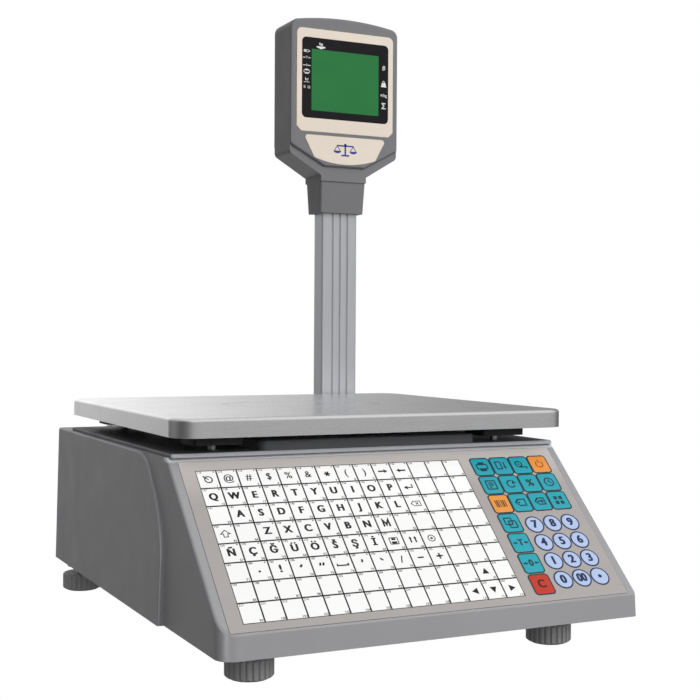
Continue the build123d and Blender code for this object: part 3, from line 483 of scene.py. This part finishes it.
class Face:
    """A flat place on the object: its origin, the directions right and up on it, all in mm."""

    def __init__(self, origin, right, up):
        self.origin = Vector(origin)
        self.right = Vector(right).normalized()
        self.up = Vector(up).normalized()
        self.out = self.right.cross(self.up)

    def at(self, u, v, height):
        return (self.origin + self.right * u + self.up * v + self.out * height) * MM


class Print:
    """Thin solids on a face, collected into one mesh."""

    def __init__(self, name, face, low, high, finish, body="base"):
        self.name, self.face, self.low, self.high = name, face, low, high
        self.finish, self.body = finish, body
        self.mesh = bmesh.new()
        self.at_u, self.at_v = 0.0, 0.0

    def to(self, u, v):
        """Moves the pen, so that the next shapes are drawn about (u, v)."""
        self.at_u, self.at_v = u, v
        return self

    def loop(self, outline, height):
        return [self.mesh.verts.new(self.face.at(u + self.at_u, v + self.at_v, height)) for u, v in outline]

    def walls(self, below, above):
        for k in range(len(below)):
            j = (k + 1) % len(below)
            self.mesh.faces.new((below[k], below[j], above[j], above[k]))

    def fill(self, outline):
        below, above = self.loop(outline, self.low), self.loop(outline, self.high)
        self.walls(below, above)
        self.mesh.faces.new(above)
        self.mesh.faces.new(below[::-1])
        return self

    def band(self, outer, inner):
        """The strip between two outlines with as many points each."""
        loops = [self.loop(line, h) for line, h in
                 ((outer, self.low), (outer, self.high), (inner, self.high), (inner, self.low))]
        for k in range(4):
            self.walls(loops[k], loops[(k + 1) % 4])
        return self

    def stacked(self, rings):
        """A solid from outlines at rising heights, closed at both ends."""
        loops = [self.loop(outline, height) for outline, height in rings]
        for below, above in zip(loops, loops[1:]):
            self.walls(below, above)
        self.mesh.faces.new(loops[-1])
        self.mesh.faces.new(loops[0][::-1])
        return self

    def line(self, points, width):
        """A mitred stroke along points."""
        left, right = [], []
        last = len(points) - 1
        for k, point in enumerate(points):
            p = Vector(point)
            before = (p - Vector(points[k - 1])).normalized() if k else None
            after = (Vector(points[k + 1]) - p).normalized() if k < last else None
            tangent = ((before or after) + (after or before)).normalized()
            side = Vector((-tangent.y, tangent.x))
            across = Vector((-(before or after).y, (before or after).x))
            reach = width / 2 / max(0.35, side.dot(across))
            left.append(tuple(p + side * reach))
            right.append(tuple(p - side * reach))
        return self.fill(right + left[::-1])

    def bar(self, u, v, width, height):
        return self.fill(moved(rounded(width, height, min(width, height) * 0.2, 2), u, v))

    def dot(self, u, v, radius):
        return self.fill(moved(round_outline(radius, 20), u, v))

    def ring(self, u, v, radius, width):
        outer, inner = round_outline(radius + width / 2, 28), round_outline(radius - width / 2, 28)
        return self.band(moved(outer, u, v), moved(inner, u, v))

    def box(self, u, v, width, height, line, radius=0.6):
        outer = rounded(width + line, height + line, radius + line / 2, 3)
        inner = rounded(width - line, height - line, max(0.05, radius - line / 2), 3)
        return self.band(moved(outer, u, v), moved(inner, u, v))

    def text(self, words, u, v, cap, weight=0.02, squeeze=1.0, spread=0.0):
        """Letters with capitals cap mm high, centred on (u, v); spread thickens their uprights."""
        curve = bpy.data.curves.new("letters", "FONT")
        curve.body = words
        curve.size = cap / CAP_SHARE
        curve.offset = weight * cap
        curve.resolution_u = 4 if cap > 3 else 2
        curve.align_x, curve.align_y = "CENTER", "CENTER"
        curve.extrude = (self.high - self.low) / 2
        holder = bpy.data.objects.new("letters", curve)
        bpy.context.scene.collection.objects.link(holder)
        bpy.context.view_layer.update()
        evaluated = holder.evaluated_get(bpy.context.evaluated_depsgraph_get())
        shape = bpy.data.meshes.new_from_object(evaluated)
        middle = (self.low + self.high) / 2
        drawn = [vertex.co.copy() for vertex in shape.vertices]
        for shift in sorted({-spread, spread}):
            for vertex, (x, y, z) in zip(shape.vertices, drawn):
                across, up = self.at_u + u + x * squeeze + shift, self.at_v + v + y
                vertex.co = self.face.at(across, up, middle + z + shift * 0.02)
            self.mesh.from_mesh(shape)
        bpy.data.meshes.remove(shape)
        bpy.data.objects.remove(holder)
        bpy.data.curves.remove(curve)
        return self

    def done(self, slot):
        bmesh.ops.remove_doubles(self.mesh, verts=self.mesh.verts, dist=1e-7)
        bmesh.ops.recalc_face_normals(self.mesh, faces=self.mesh.faces)
        data = bpy.data.meshes.new(self.name)
        self.mesh.to_mesh(data)
        self.mesh.free()
        data.materials.append(self.finish)
        piece = bpy.data.objects.new(self.name, data)
        bpy.context.scene.collection.objects.link(piece)
        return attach(piece, self.body)


# ---------------------------------------------------------------- key panel

PANEL_TOP = (0.0, -116.0, 155.4)  # middle of the slope's upper edge
PANEL_UP = (0.0, 117.5, 110.0)  # from the slope's lower edge to its upper one
PANEL = Face(PANEL_TOP, (1, 0, 0), PANEL_UP)

GRID_X = (-156.0, 74.0)
GRID_V = (-152.7, -14.2)
COLUMNS, ROWS = 14, 8
CELL_W = (GRID_X[1] - GRID_X[0]) / COLUMNS
CELL_H = (GRID_V[1] - GRID_V[0]) / ROWS
CARD_TOP = 0.15
GRID_LINE = 1.2

INK_BLACK = ink("print_black", "161616")
INK_GREY = ink("print_grey", "404044")
INK_NAVY = ink("print_navy", "1a274c")
INK_TEAL = ink("print_dark_teal", "0b3946")
INK_BROWN = ink("print_brown", "5b3413")
INK_ORANGE = ink("print_orange", "b5480f")
INK_MAROON = ink("print_maroon", "4c100c")
INK_WHITE = ink("print_white", "e4e4e0")
INK_BLUE = ink("print_blue", "23308c")

LETTERS = [
    " @#$%& ()",
    "QWERTYUIOP",
    " ASDFGHJKL",
    "  ZXCVBN",
    "ÑÇĞUOŠŞİ",  # U and O get their two dots below
    "  !",
]


def cell(column, row):
    """Centre of a preset key."""
    return GRID_X[0] + (column + 0.5) * CELL_W, GRID_V[1] - (row + 0.5) * CELL_H


def arrow(p, u, v, length, width, angle=0, head=2.2):
    """A straight arrow centred on (u, v), pointing along angle."""
    turn = Matrix.Rotation(radians(angle), 2)
    tip, neck, tail = length / 2, length / 2 - head, -length / 2
    shape = [(tail, -width / 2), (neck, -width / 2), (neck, -head * 0.62), (tip, 0),
             (neck, head * 0.62), (neck, width / 2), (tail, width / 2)]
    return p.fill(moved([tuple(turn @ Vector(q)) for q in shape], u, v))


def wedge(p, u, v, size, angle):
    """A solid triangle pointing along angle."""
    turn = Matrix.Rotation(radians(angle), 2)
    shape = [(-size * 0.45, -size * 0.55), (size * 0.55, 0), (-size * 0.45, size * 0.55)]
    return p.fill(moved([tuple(turn @ Vector(q)) for q in shape], u, v))


def draw_grid():
    p = Print("preset_grid", PANEL, CARD_TOP - 0.02, CARD_TOP + 0.03, INK_BLACK)
    width, height = GRID_X[1] - GRID_X[0], GRID_V[1] - GRID_V[0]
    mid_x, mid_v = sum(GRID_X) / 2, sum(GRID_V) / 2
    for k in range(COLUMNS + 1):
        p.bar(GRID_X[0] + k * CELL_W, mid_v, GRID_LINE, height + GRID_LINE)
    for k in range(ROWS + 1):
        p.bar(mid_x, GRID_V[0] + k * CELL_H, width + GRID_LINE, GRID_LINE)
    p.done("card")


def draw_letters():
    p = Print("preset_letters", PANEL, CARD_TOP - 0.02, CARD_TOP + 0.04, INK_BLACK)
    for row, signs in enumerate(LETTERS):
        for column, sign in enumerate(signs):
            if sign != " ":
                weight, spread = (0.0, 0.17) if row == 0 else (0.03, 0.34)
                p.to(*cell(column, row)).text(sign, 0, 0.2, 6.6, weight, 0.92, spread)
    p.to(*cell(9, 0))
    arrow(p, 0, 0, 8.4, 1.5, 0, 3.2)
    p.to(*cell(10, 0))
    arrow(p, 0, 0, 8.4, 1.5, 180, 3.2)
    for angle in (0, 60, 120):  # asterisk
        reach = (2.6 * cos(radians(angle)), 2.6 * sin(radians(angle)))
        p.to(*cell(6, 0)).line([(-reach[0], -reach[1]), reach], 1.2)
    p.to(*cell(8, 3)).line([(-2.4, -3.2), (-2.4, 3.2), (0, -1.4), (2.4, 3.2), (2.4, -3.2)], 1.75)  # M
    for column in (3, 4):
        p.to(*cell(column, 4)).dot(-1.3, 4.9, 0.78).dot(1.3, 4.9, 0.78)
    p.to(*cell(0, 0)).ring(0.4, -0.2, 2.9, 1.0)
    arrow(p, -1.6, 1.6, 5.6, 0.8, 135, 1.7)
    p.to(*cell(10, 1)).line([(3.6, 2.6), (3.6, -0.8), (-1.0, -0.8)], 1.0)
    wedge(p, -2.4, -0.8, 3.6, 180)
    tag = [(-4.2, 0), (-1.8, 2.3), (4.2, 2.3), (4.2, -2.3), (-1.8, -2.3), (-4.2, 0), (-1.8, 2.3)]
    p.to(*cell(10, 2)).line(tag, 0.7)
    p.line([(-0.1, 1.1), (2.3, -1.1)], 0.7).line([(-0.1, -1.1), (2.3, 1.1)], 0.7)
    shift = [(-1.6, -2.8), (-1.6, 0), (-3.6, 0), (0, 3.4), (3.6, 0), (1.6, 0), (1.6, -2.8), (-1.9, -2.8)]
    p.to(*cell(0, 3)).line(shift, 0.7)
    p.to(*cell(8, 4)).box(0, 0, 7.0, 6.0, 0.8).bar(0, 1.6, 3.4, 1.8).bar(0, -1.5, 4.6, 2.0)
    p.to(*cell(9, 4))
    arrow(p, -2.0, 0.2, 6.0, 1.3, 90)
    arrow(p, 2.2, 0.2, 6.0, 1.3, 90)
    p.to(*cell(10, 4)).ring(0, 0, 2.9, 0.8).dot(0, 0, 1.1)
    p.to(*cell(1, 5)).dot(0, -0.6, 0.95)
    p.to(*cell(3, 5)).line([(-1.1, 0.2), (0.9, 2.4)], 1.6)
    p.to(*cell(5, 5)).line([(-4.4, 0.6), (-4.4, -1.2), (4.4, -1.2), (4.4, 0.6)], 1.2)
    for column, shifts in ((4, (-1.3, 1.3)), (6, (0,))):
        for du in shifts:
            p.to(*cell(column, 5)).line([(du + 0.2, 2.8), (du + 0.2, 1.4), (du - 0.7, 0.2)], 1.5)
    p.to(*cell(7, 5)).line([(-1.0, 2.4), (0.9, 0.4)], 1.5)
    p.to(*cell(8, 5)).line([(-1.0, -3.2), (1.0, 3.2)], 1.0)
    p.to(*cell(9, 5)).bar(0, 0.2, 5.2, 1.3)
    p.to(*cell(10, 5)).bar(0, 0.2, 5.6, 1.4).bar(0, 0.2, 1.4, 5.6)
    wedge(p.to(*cell(12, 6)), 0, 0, 5.4, 90)
    for column, angle in ((11, 180), (12, 270), (13, 0)):
        wedge(p.to(*cell(column, 7)), 0, 0, 5.4, angle)
    p.done("card")


def draw_numbers():
    """Small preset numbers in the corners of the keys."""
    p = Print("preset_numbers", PANEL, CARD_TOP - 0.02, CARD_TOP + 0.03, INK_GREY)
    for row in range(ROWS):
        for column in range(COLUMNS):
            number = row * COLUMNS + column + 1
            p.to(*cell(column, row)).text(str(number), CELL_W / 2 - 2.4, 1.8 - CELL_H / 2, 2.1, 0.03)
            p.text(str(number + COLUMNS * ROWS), 2.9 - CELL_W / 2, CELL_H / 2 - 1.8, 1.8, 0.03)
            if row < 6 and column < 11 and (row, column) not in ((2, 0), (3, 1), (5, 0)):
                p.bar(CELL_W / 2 - 2.2, CELL_H / 2 - 1.6, 1.1, 1.1)
    p.done("card")


# Square keys by colour, as (x, v) centres, and the round number keys

SQUARE_X = (93.0, 112.0, 131.0, 150.0)
TOP_V = (-23.5, -43.4, -63.3)
SIDE_V = [-83.2 - 20.15 * k for k in range(4)]
ROUND_X = (114.5, 132.0, 149.3)
ROUND_V = [-86.5 - 18.3 * k for k in range(4)]
KEY_TOP = 0.62
KEY_SIDE = (17.0, 17.6)
KEY_R = 7.35

ORANGE_KEYS = [(SQUARE_X[3], TOP_V[0]), (SQUARE_X[0], TOP_V[2])]
RED_KEYS = [(SQUARE_X[0], SIDE_V[3])]
TEAL_KEYS = [(x, v) for v in TOP_V for x in SQUARE_X if (x, v) not in ORANGE_KEYS]
TEAL_KEYS += [(SQUARE_X[0], v) for v in SIDE_V[:3]]
NUMBER_KEYS = [(x, v) for v in ROUND_V for x in ROUND_X]


def key_caps(name, centres, outline, code):
    """Embossed keys: a short wall, a rounded shoulder and a crowned top."""
    p = Print(name, PANEL, 0, 0, key_film(name, code))
    rings = [(0.0, 0.06), (0.0, 0.42), (0.18, 0.52), (0.5, 0.58), (1.6, 0.6), (4.0, KEY_TOP)]
    for x, v in centres:
        p.to(x, v).stacked([(outline(inset), height) for inset, height in rings])
    piece = p.done("overlay_film")
    for polygon in piece.data.polygons:
        polygon.use_smooth = True


def square_outline(inset):
    return rounded(KEY_SIDE[0] - 2 * inset, KEY_SIDE[1] - 2 * inset, max(0.6, 2.3 - inset), 6)


def number_outline(inset):
    return round_outline(KEY_R - inset, 48)


def key_borders(name, centres, outline, line, finish):
    """Printed borders round the keys, standing a little above the film."""
    p = Print(name, PANEL, 0.1, 0.46, finish)
    for x, v in centres:
        p.to(x, v).band(outline(-line), outline(0.05))
    p.done("overlay_film")


STROKE = 1.25  # line width of the symbols on the keys


def symbol_copies(p):
    for shift in (-1.6, 1.6):
        p.box(shift, -shift, 6.6, 6.6, STROKE)


def symbol_printer(p):
    p.box(0, 0, 9.8, 4.8, STROKE).bar(0, 3.8, 5.8, 2.2).bar(0, -3.4, 6.2, 3.2)


def symbol_feed(p):
    p.box(-2.6, 0.6, 4.8, 7.8, STROKE)
    arrow(p, 3.0, 0.2, 7.8, STROKE, 270, 2.8)


def symbol_roll(p):
    p.ring(-1.6, 1.0, 3.0, STROKE).dot(-1.6, 1.0, 1.0)
    p.line([(-1.6, -2.3), (5.0, -2.3), (5.0, -4.4)], STROKE)


def symbol_note_in(p):
    p.box(0, 0, 8.8, 8.8, STROKE)
    for du, dv, width in ((0, 2.0, 5.0), (0, -0.1, 5.0), (-1.2, -2.2, 2.6)):
        p.bar(du, dv, width, STROKE)


def symbol_percent(p):
    p.text("%", 0, 0, 7.2, 0.03, 1.0, 0.2)


def symbol_refresh(p):
    p.line(arc_points(3.5, 60, 330, 18), STROKE)
    wedge(p, 3.1, 2.0, 4.0, 100)


def symbol_clock(p):
    p.ring(0, 0, 4.2, STROKE).line([(0, 2.7), (0, 0), (2.1, -1.2)], STROKE)


def symbol_tag(p):
    p.line([(-4.6, 0), (-1.6, 3.2), (4.6, 3.2), (4.6, -3.2), (-1.6, -3.2), (-4.6, 0), (-1.6, 3.2)], STROKE)
    p.dot(-1.4, 0, 1.1)


def symbol_tag_change(p):
    symbol_tag(p)
    p.bar(1.8, 0, 3.8, STROKE).bar(1.8, 0, STROKE, 3.8)


def symbol_pieces(p):
    for du, dv in ((-2.5, 2.5), (2.5, 2.5), (-2.5, -2.5), (2.5, -2.5)):
        p.bar(du, dv, 3.6, 3.6)


def between_arrows(p, sign):
    """A sign between two arrows that point at it."""
    arrow(p, -4.9, 0, 4.4, STROKE, 0, 2.4)
    arrow(p, 4.9, 0, 4.4, STROKE, 180, 2.4)
    p.text(sign, 0, 0, 6.2, 0.03, 0.9, 0.25)


def symbol_tare(p):
    between_arrows(p, "T")


def symbol_zero(p):
    between_arrows(p, "0")


def symbol_bars(p):
    for du, width in ((-4.6, 0.9), (-2.8, 1.5), (-0.9, 0.7), (0.8, 0.7), (2.6, 1.5), (4.6, 0.9)):
        p.bar(du, 0, width, 7.2)


def symbol_power(p):
    p.line(arc_points(3.3, 125, 415, 20), STROKE).bar(0, 3.0, STROKE, 3.8)


def key_print(name, finish):
    """Print on the tops of the keys."""
    return Print(name, PANEL, KEY_TOP - 0.08, KEY_TOP + 0.03, finish)


def draw_key_symbols():
    teal = key_print("function_symbols", INK_TEAL)
    drawings = [symbol_printer, symbol_feed, symbol_roll, symbol_note_in, symbol_refresh, symbol_percent,
                symbol_clock, symbol_tag, symbol_tag_change, symbol_pieces, symbol_copies, symbol_tare,
                symbol_zero]
    for (x, v), draw in zip(TEAL_KEYS, drawings):
        draw(teal.to(x, v))
    teal.done("overlay_film")
    power = key_print("power_symbol", INK_ORANGE)
    symbol_power(power.to(*ORANGE_KEYS[0]))
    power.done("overlay_film")
    lookup = key_print("lookup_symbol", INK_BROWN)
    symbol_bars(lookup.to(*ORANGE_KEYS[1]))
    lookup.done("overlay_film")
    clear = key_print("clear_symbol", INK_MAROON)
    clear.to(*RED_KEYS[0]).text("C", 0, 0, 7.6, 0.03, 0.95, 0.35)
    clear.done("overlay_film")
    digits = key_print("number_symbols", INK_NAVY)
    for (x, v), word in zip(NUMBER_KEYS, ("7", "8", "9", "4", "5", "6", "1", "2", "3", "0", "00")):
        digits.to(x, v).text(word, 0, 0, 7.8, 0.03, 0.8 if len(word) > 1 else 0.92, 0.42)
    digits.to(*NUMBER_KEYS[-1]).dot(0, 0, 1.7)
    digits.done("overlay_film")


draw_grid()
draw_letters()
draw_numbers()
key_caps("keys_teal", TEAL_KEYS, square_outline, "129cac")
key_caps("keys_orange", ORANGE_KEYS, square_outline, "e29138")
key_caps("key_red", RED_KEYS, square_outline, "b82a12")
key_caps("keys_number", NUMBER_KEYS, number_outline, "aabde0")
SQUARE_KEYS = TEAL_KEYS + ORANGE_KEYS + RED_KEYS
key_borders("key_borders", SQUARE_KEYS, square_outline, 1.0, ink("border_dark", "123238"))
key_borders("number_borders", NUMBER_KEYS, number_outline, 1.05, ink("border_navy", "1b2850"))
draw_key_symbols()


# ---------------------------------------------------------------- display printing, on both sides

HEAD_X, LCD_Z, BADGE_Z = 120.0, 517.2, 445.0
WINDOW_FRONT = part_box("display_windows")[0].y / MM
WINDOW_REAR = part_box("display_windows")[1].y / MM
BADGE_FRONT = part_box("display_badges")[0].y / MM
BADGE_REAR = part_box("display_badges")[1].y / MM
SIDES = {
    "front": (Face((HEAD_X, WINDOW_FRONT, LCD_Z), (1, 0, 0), (0, 0, 1)),
              Face((HEAD_X, BADGE_FRONT, BADGE_Z), (1, 0, 0), (0, 0, 1))),
    "rear": (Face((HEAD_X, WINDOW_REAR, LCD_Z), (-1, 0, 0), (0, 0, 1)),
             Face((HEAD_X, BADGE_REAR, BADGE_Z), (-1, 0, 0), (0, 0, 1))),
}


def draw_window_marks(side, face):
    """White annunciator marks beside the panel: generic symbols only."""
    p = Print("window_marks_" + side, face, -0.04, 0.04, INK_WHITE)
    left, right = -45.4, 45.6
    p.to(left, 29.4).box(-0.4, 0, 5.6, 2.2, 0.5, 0.3).bar(3.2, 0, 0.8, 1.2).bar(-1.4, 0, 2.6, 1.2)
    for sign, v in (("T", 22.3), ("0", 14.3)):
        p.to(left, v)
        arrow(p, -3.0, 0, 3.2, 0.6, 0, 1.2)
        arrow(p, 3.0, 0, 3.2, 0.6, 180, 1.2)
        p.text(sign, 0, 0, 2.6, 0.02)
    p.to(left, 8.0).box(0, 0, 6.4, 2.4, 0.5, 0.3).bar(0, 2.0, 4.0, 0.9).bar(0, -2.1, 4.4, 0.9)
    p.to(left, -0.6).text("kg", 0, 0.4, 3.2, 0.02).bar(0, -2.6, 6.4, 0.5)
    p.to(left, -8.4).text("%", -2.4, 0, 2.8, 0.02).ring(2.6, 0, 1.2, 0.5)
    p.to(right, 20.0).text("#", 0, 0, 5.6, 0.01, 0.8)
    p.to(right, 2.3).fill([(-3.2, -3.0), (3.2, -3.0), (2.1, 1.6), (-2.1, 1.6)]).ring(0, 2.5, 1.0, 0.6)
    p.to(right, -9.8).text("¤/kg", 0, 0, 3.4, 0.01, 0.95)
    p.to(right, -21.6).text("Σ", 0, 0, 6.2, 0.03)
    p.to(-29.0, 33.9).fill([(-5.0, 1.5), (-5.0, 0.3), (0, -1.4), (5.0, 0.3), (5.0, 1.5)])
    p.text("kg", 0, 4.0, 3.0, 0.02, 1.1, 0.1)
    p.done("beige_trim")


def draw_balance(side, face):
    """A plain two-pan balance as a generic mark on the badge."""
    p = Print("badge_mark_" + side, face, -0.04, 0.05, INK_BLUE)
    p.bar(0, 0.4, 1.9, 11.0).bar(0, -5.4, 9.4, 1.7).bar(0, 4.8, 20.0, 1.5).dot(0, 5.9, 1.5)
    for du in (-9.4, 9.4):
        p.line([(du - 3.5, -0.8), (du, 4.6), (du + 3.5, -0.8)], 0.8)
        p.fill([(du + 4.4 * cos(radians(a)), -0.6 + 2.7 * sin(radians(a))) for a in range(180, 361, 15)])
    p.done("beige_trim")


for side, (window_face, badge_face) in SIDES.items():
    draw_window_marks(side, window_face)
    draw_balance(side, badge_face)


# ---------------------------------------------------------------- marks on the back and the right side

PORT_Z = 72.0
JACK_X, LAN_X, SWITCH_X, INLET_X = -28.0, -4.0, -62.0, -86.0
REAR = Face((0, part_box("port_plate")[1].y / MM, 0), (-1, 0, 0), (0, 0, 1))

SKIRT_X, SKIRT_Z = 180.0, 28.0
SIDE_LEAN = 3.0 / 127.4  # the right side leans inwards as it rises
MARKS_Z, DRAWER_MARK_Y, LATCH_Y = 122.0, 12.0, 46.0

ROCKER_AT = (SWITCH_X, 219.2, PORT_Z)  # its hinge
ROCKER_TILT = 10.0
ROCKER_MIDDLE = (2.95, 3.35)  # centre of a half of its face: out from the hinge, and up
ROCKER_HOLLOW = 1.3 / 6.7  # each half slopes towards the middle

LEVEL_AT = (-120.0, 209.0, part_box("level_vial")[1].z / MM)


def right_side(y, z):
    """The leaning right side about a point."""
    return Face((SKIRT_X - SIDE_LEAN * (z - SKIRT_Z), y, z), (0, 1, 0), (-SIDE_LEAN, 0, 1))


def rocker_face(half):
    """The upper (1) or lower (-1) half of the tipped rocker's face."""
    tilt = Matrix.Rotation(radians(-ROCKER_TILT), 3, "X")
    middle = tilt @ Vector((0, ROCKER_MIDDLE[0], half * ROCKER_MIDDLE[1]))
    return Face(Vector(ROCKER_AT) + middle, (-1, 0, 0), tilt @ Vector((0, half * ROCKER_HOLLOW, 1)))


def draw_port_legends():
    """Symbols above the jacks, the switch and beside the inlet; u runs towards -X here."""
    p = Print("port_legends", REAR, -0.04, 0.06, INK_BLACK)
    p.to(-JACK_X, PORT_Z + 13).box(0, 1.5, 2.6, 1.8, 0.5, 0.3).bar(0, -0.4, 6.0, 0.5)
    for du in (-2.8, 2.8):
        p.box(du, -2.2, 2.2, 1.8, 0.5, 0.3)
    p.to(-LAN_X, PORT_Z + 13).box(0, 0, 7.0, 4.6, 0.6).bar(0, -0.4, 2.6, 0.8)
    symbol_power(p.to(-SWITCH_X, PORT_Z + 15.5))
    p.to(-INLET_X, PORT_Z).line([(-3.4, -0.8), (-1.7, 0.9), (1.7, -0.9), (3.4, 0.8)], 0.8)
    p.done("bracket_steel")


def draw_rocker_marks():
    """The on and off marks on the rocker."""
    on = Print("rocker_on", rocker_face(1), -0.05, 0.06, INK_WHITE, "rocker")
    on.bar(0, 0, 0.9, 3.8).done("rocker_plastic")
    off = Print("rocker_off", rocker_face(-1), -0.05, 0.06, INK_WHITE, "rocker")
    off.ring(0, 0, 1.6, 0.7).done("rocker_plastic")


def draw_drawer_marks():
    """A roll and its label beside the catch, and an arrow on the catch."""
    p = Print("drawer_marks", right_side(DRAWER_MARK_Y, MARKS_Z), -0.05, 0.05, INK_WHITE, "printer_drawer")
    p.ring(-3.0, 1.2, 4.0, 0.9).dot(-3.0, 1.2, 1.2).line([(-3.0, -2.9), (9.0, -2.9), (9.0, -6.0)], 0.9)
    p.done("housing_plastic")
    p = Print("latch_arrow", right_side(LATCH_Y, MARKS_Z), -0.05, 0.05, INK_WHITE, "latch_button")
    arrow(p, 0, 0, 9.0, 1.6, 0, 3.4)
    p.done("housing_plastic")


def draw_level_rings():
    """The target ring and the bubble of the spirit level."""
    top = Face(LEVEL_AT, (1, 0, 0), (0, 1, 0))
    Print("level_ring", top, -0.05, 0.04, INK_BLACK).ring(0, 0, 3.0, 0.4).done("vial_liquid")
    Print("level_bubble", top, -0.05, 0.05, INK_WHITE).dot(0.4, 0.3, 1.9).done("vial_liquid")


draw_port_legends()
draw_rocker_marks()
draw_drawer_marks()
draw_level_rings()


# ---------------------------------------------------------------- studio


def lamp(name, at, aim, size, power):
    """A rectangular area light at a place in metres, turned towards aim."""
    light = bpy.data.lights.new(name, "AREA")
    light.shape = "RECTANGLE"
    light.size, light.size_y = size
    light.energy = power
    holder = bpy.data.objects.new(name, light)
    holder.location = at
    holder.rotation_euler = (Vector(aim) - Vector(at)).to_track_quat("-Z", "Y").to_euler()
    bpy.context.scene.collection.objects.link(holder)
    return holder


def studio_sky(low, high, patches):
    """Soft sky that rises from low to high, with brighter and darker patches; the backdrop is white."""
    world = bpy.data.worlds.new("studio")
    bpy.context.scene.world = world
    world.use_nodes = True
    nodes, links = world.node_tree.nodes, world.node_tree.links
    background = nodes["Background"]
    background.inputs["Color"].default_value = (1, 1, 1, 1)
    direction = nodes.new("ShaderNodeTexCoord").outputs["Generated"]

    def facing(way, outside, inside, start, stop):
        dot = nodes.new("ShaderNodeVectorMath")
        dot.operation = "DOT_PRODUCT"
        dot.inputs[1].default_value = Vector(way).normalized()
        links.new(direction, dot.inputs[0])
        scale = nodes.new("ShaderNodeMapRange")
        scale.interpolation_type = "SMOOTHSTEP"
        for socket, number in zip(scale.inputs[1:5], (start, stop, outside, inside)):
            socket.default_value = number
        links.new(dot.outputs["Value"], scale.inputs[0])
        return scale.outputs[0]

    light = facing((0, 0, 1), low, high, -0.3, 0.35)
    for way, share, start, stop in patches:
        product = nodes.new("ShaderNodeMath")
        product.operation = "MULTIPLY"
        links.new(light, product.inputs[0])
        links.new(facing(way, 1.0, share, start, stop), product.inputs[1])
        light = product.outputs[0]
    strength = nodes.new("ShaderNodeMix")
    links.new(nodes.new("ShaderNodeLightPath").outputs["Is Camera Ray"], strength.inputs[0])
    links.new(light, strength.inputs[2])
    strength.inputs[3].default_value = 1.0
    links.new(strength.outputs[0], background.inputs["Strength"])


def studio_camera(at, yaw, pitch, roll, focal):
    """A camera at a place in mm, turned from +Y towards +X by yaw; focal is in widths of the frame."""
    yaw, pitch, roll = radians(yaw), radians(pitch), radians(roll)
    ahead = Vector((sin(yaw) * cos(pitch), cos(yaw) * cos(pitch), sin(pitch)))
    level = Vector((cos(yaw), -sin(yaw), 0))
    above = level.cross(ahead)
    right = cos(roll) * level + sin(roll) * above
    up = -sin(roll) * level + cos(roll) * above
    data = bpy.data.cameras.new("camera")
    data.lens = data.sensor_width * focal
    data.clip_start = 0.01
    holder = bpy.data.objects.new("camera", data)
    turn = Matrix((right, up, -ahead)).transposed()
    holder.matrix_world = Matrix.Translation(Vector(at) * MM) @ turn.to_4x4()
    bpy.context.scene.collection.objects.link(holder)
    bpy.context.scene.camera = holder


bpy.context.scene.view_settings.view_transform = "Standard"

# Patches of the sky: a direction, a factor on the brightness there, and where the patch begins and is full,
# as cosines of the angle from that direction
studio_sky(0.22, 0.68, [
    ((0.09, 1.0, -0.25), 3.4, 0.8, 0.97),  # bright window low behind
    ((0.9, 0.55, 0.05), 0.4, 0.6, 0.92),  # dim corner behind on the right
    ((-1.0, 0.2, -0.1), 0.5, 0.3, 0.9),  # shade on the left
    ((-0.44, 0.9, -0.07), 0.6, 0.9, 0.99),  # shade that the left edge of the pan mirrors
    ((-0.9, -0.5, -0.1), 0.5, 0.7, 0.97),  # dark flag in front on the left
])

KEY_AT, KEY_AIM, KEY_SIZE = (1.5, -2.9, 2.2), (0, 0, 0.2), (4.2, 3.6)
key = lamp("key", KEY_AT, KEY_AIM, KEY_SIZE, 122)
key.visible_glossy = False
sheen = lamp("key_sheen", KEY_AT, KEY_AIM, KEY_SIZE, 66)  # weaker, so that bare metal is not burnt out
sheen.visible_diffuse = False

# a strip that only glances off the rounded edges of the painted shells
edge = lamp("edge", (-1.75, -1.45, 0.25), (-0.18, -0.1, 0.1), (0.3, 1.4), 44)
edge.visible_diffuse = False
edge.light_linking.receiver_collection = bpy.data.collections.new("edge_lit")
for node in ("upper_housing", "head_front_shell", "head_rear_shell"):
    edge.light_linking.receiver_collection.objects.link(NODES[node])

studio_camera(at=(-472.1, -1035.7, 249.4), yaw=26.1, pitch=-0.706, roll=0.339, focal=1.8185)
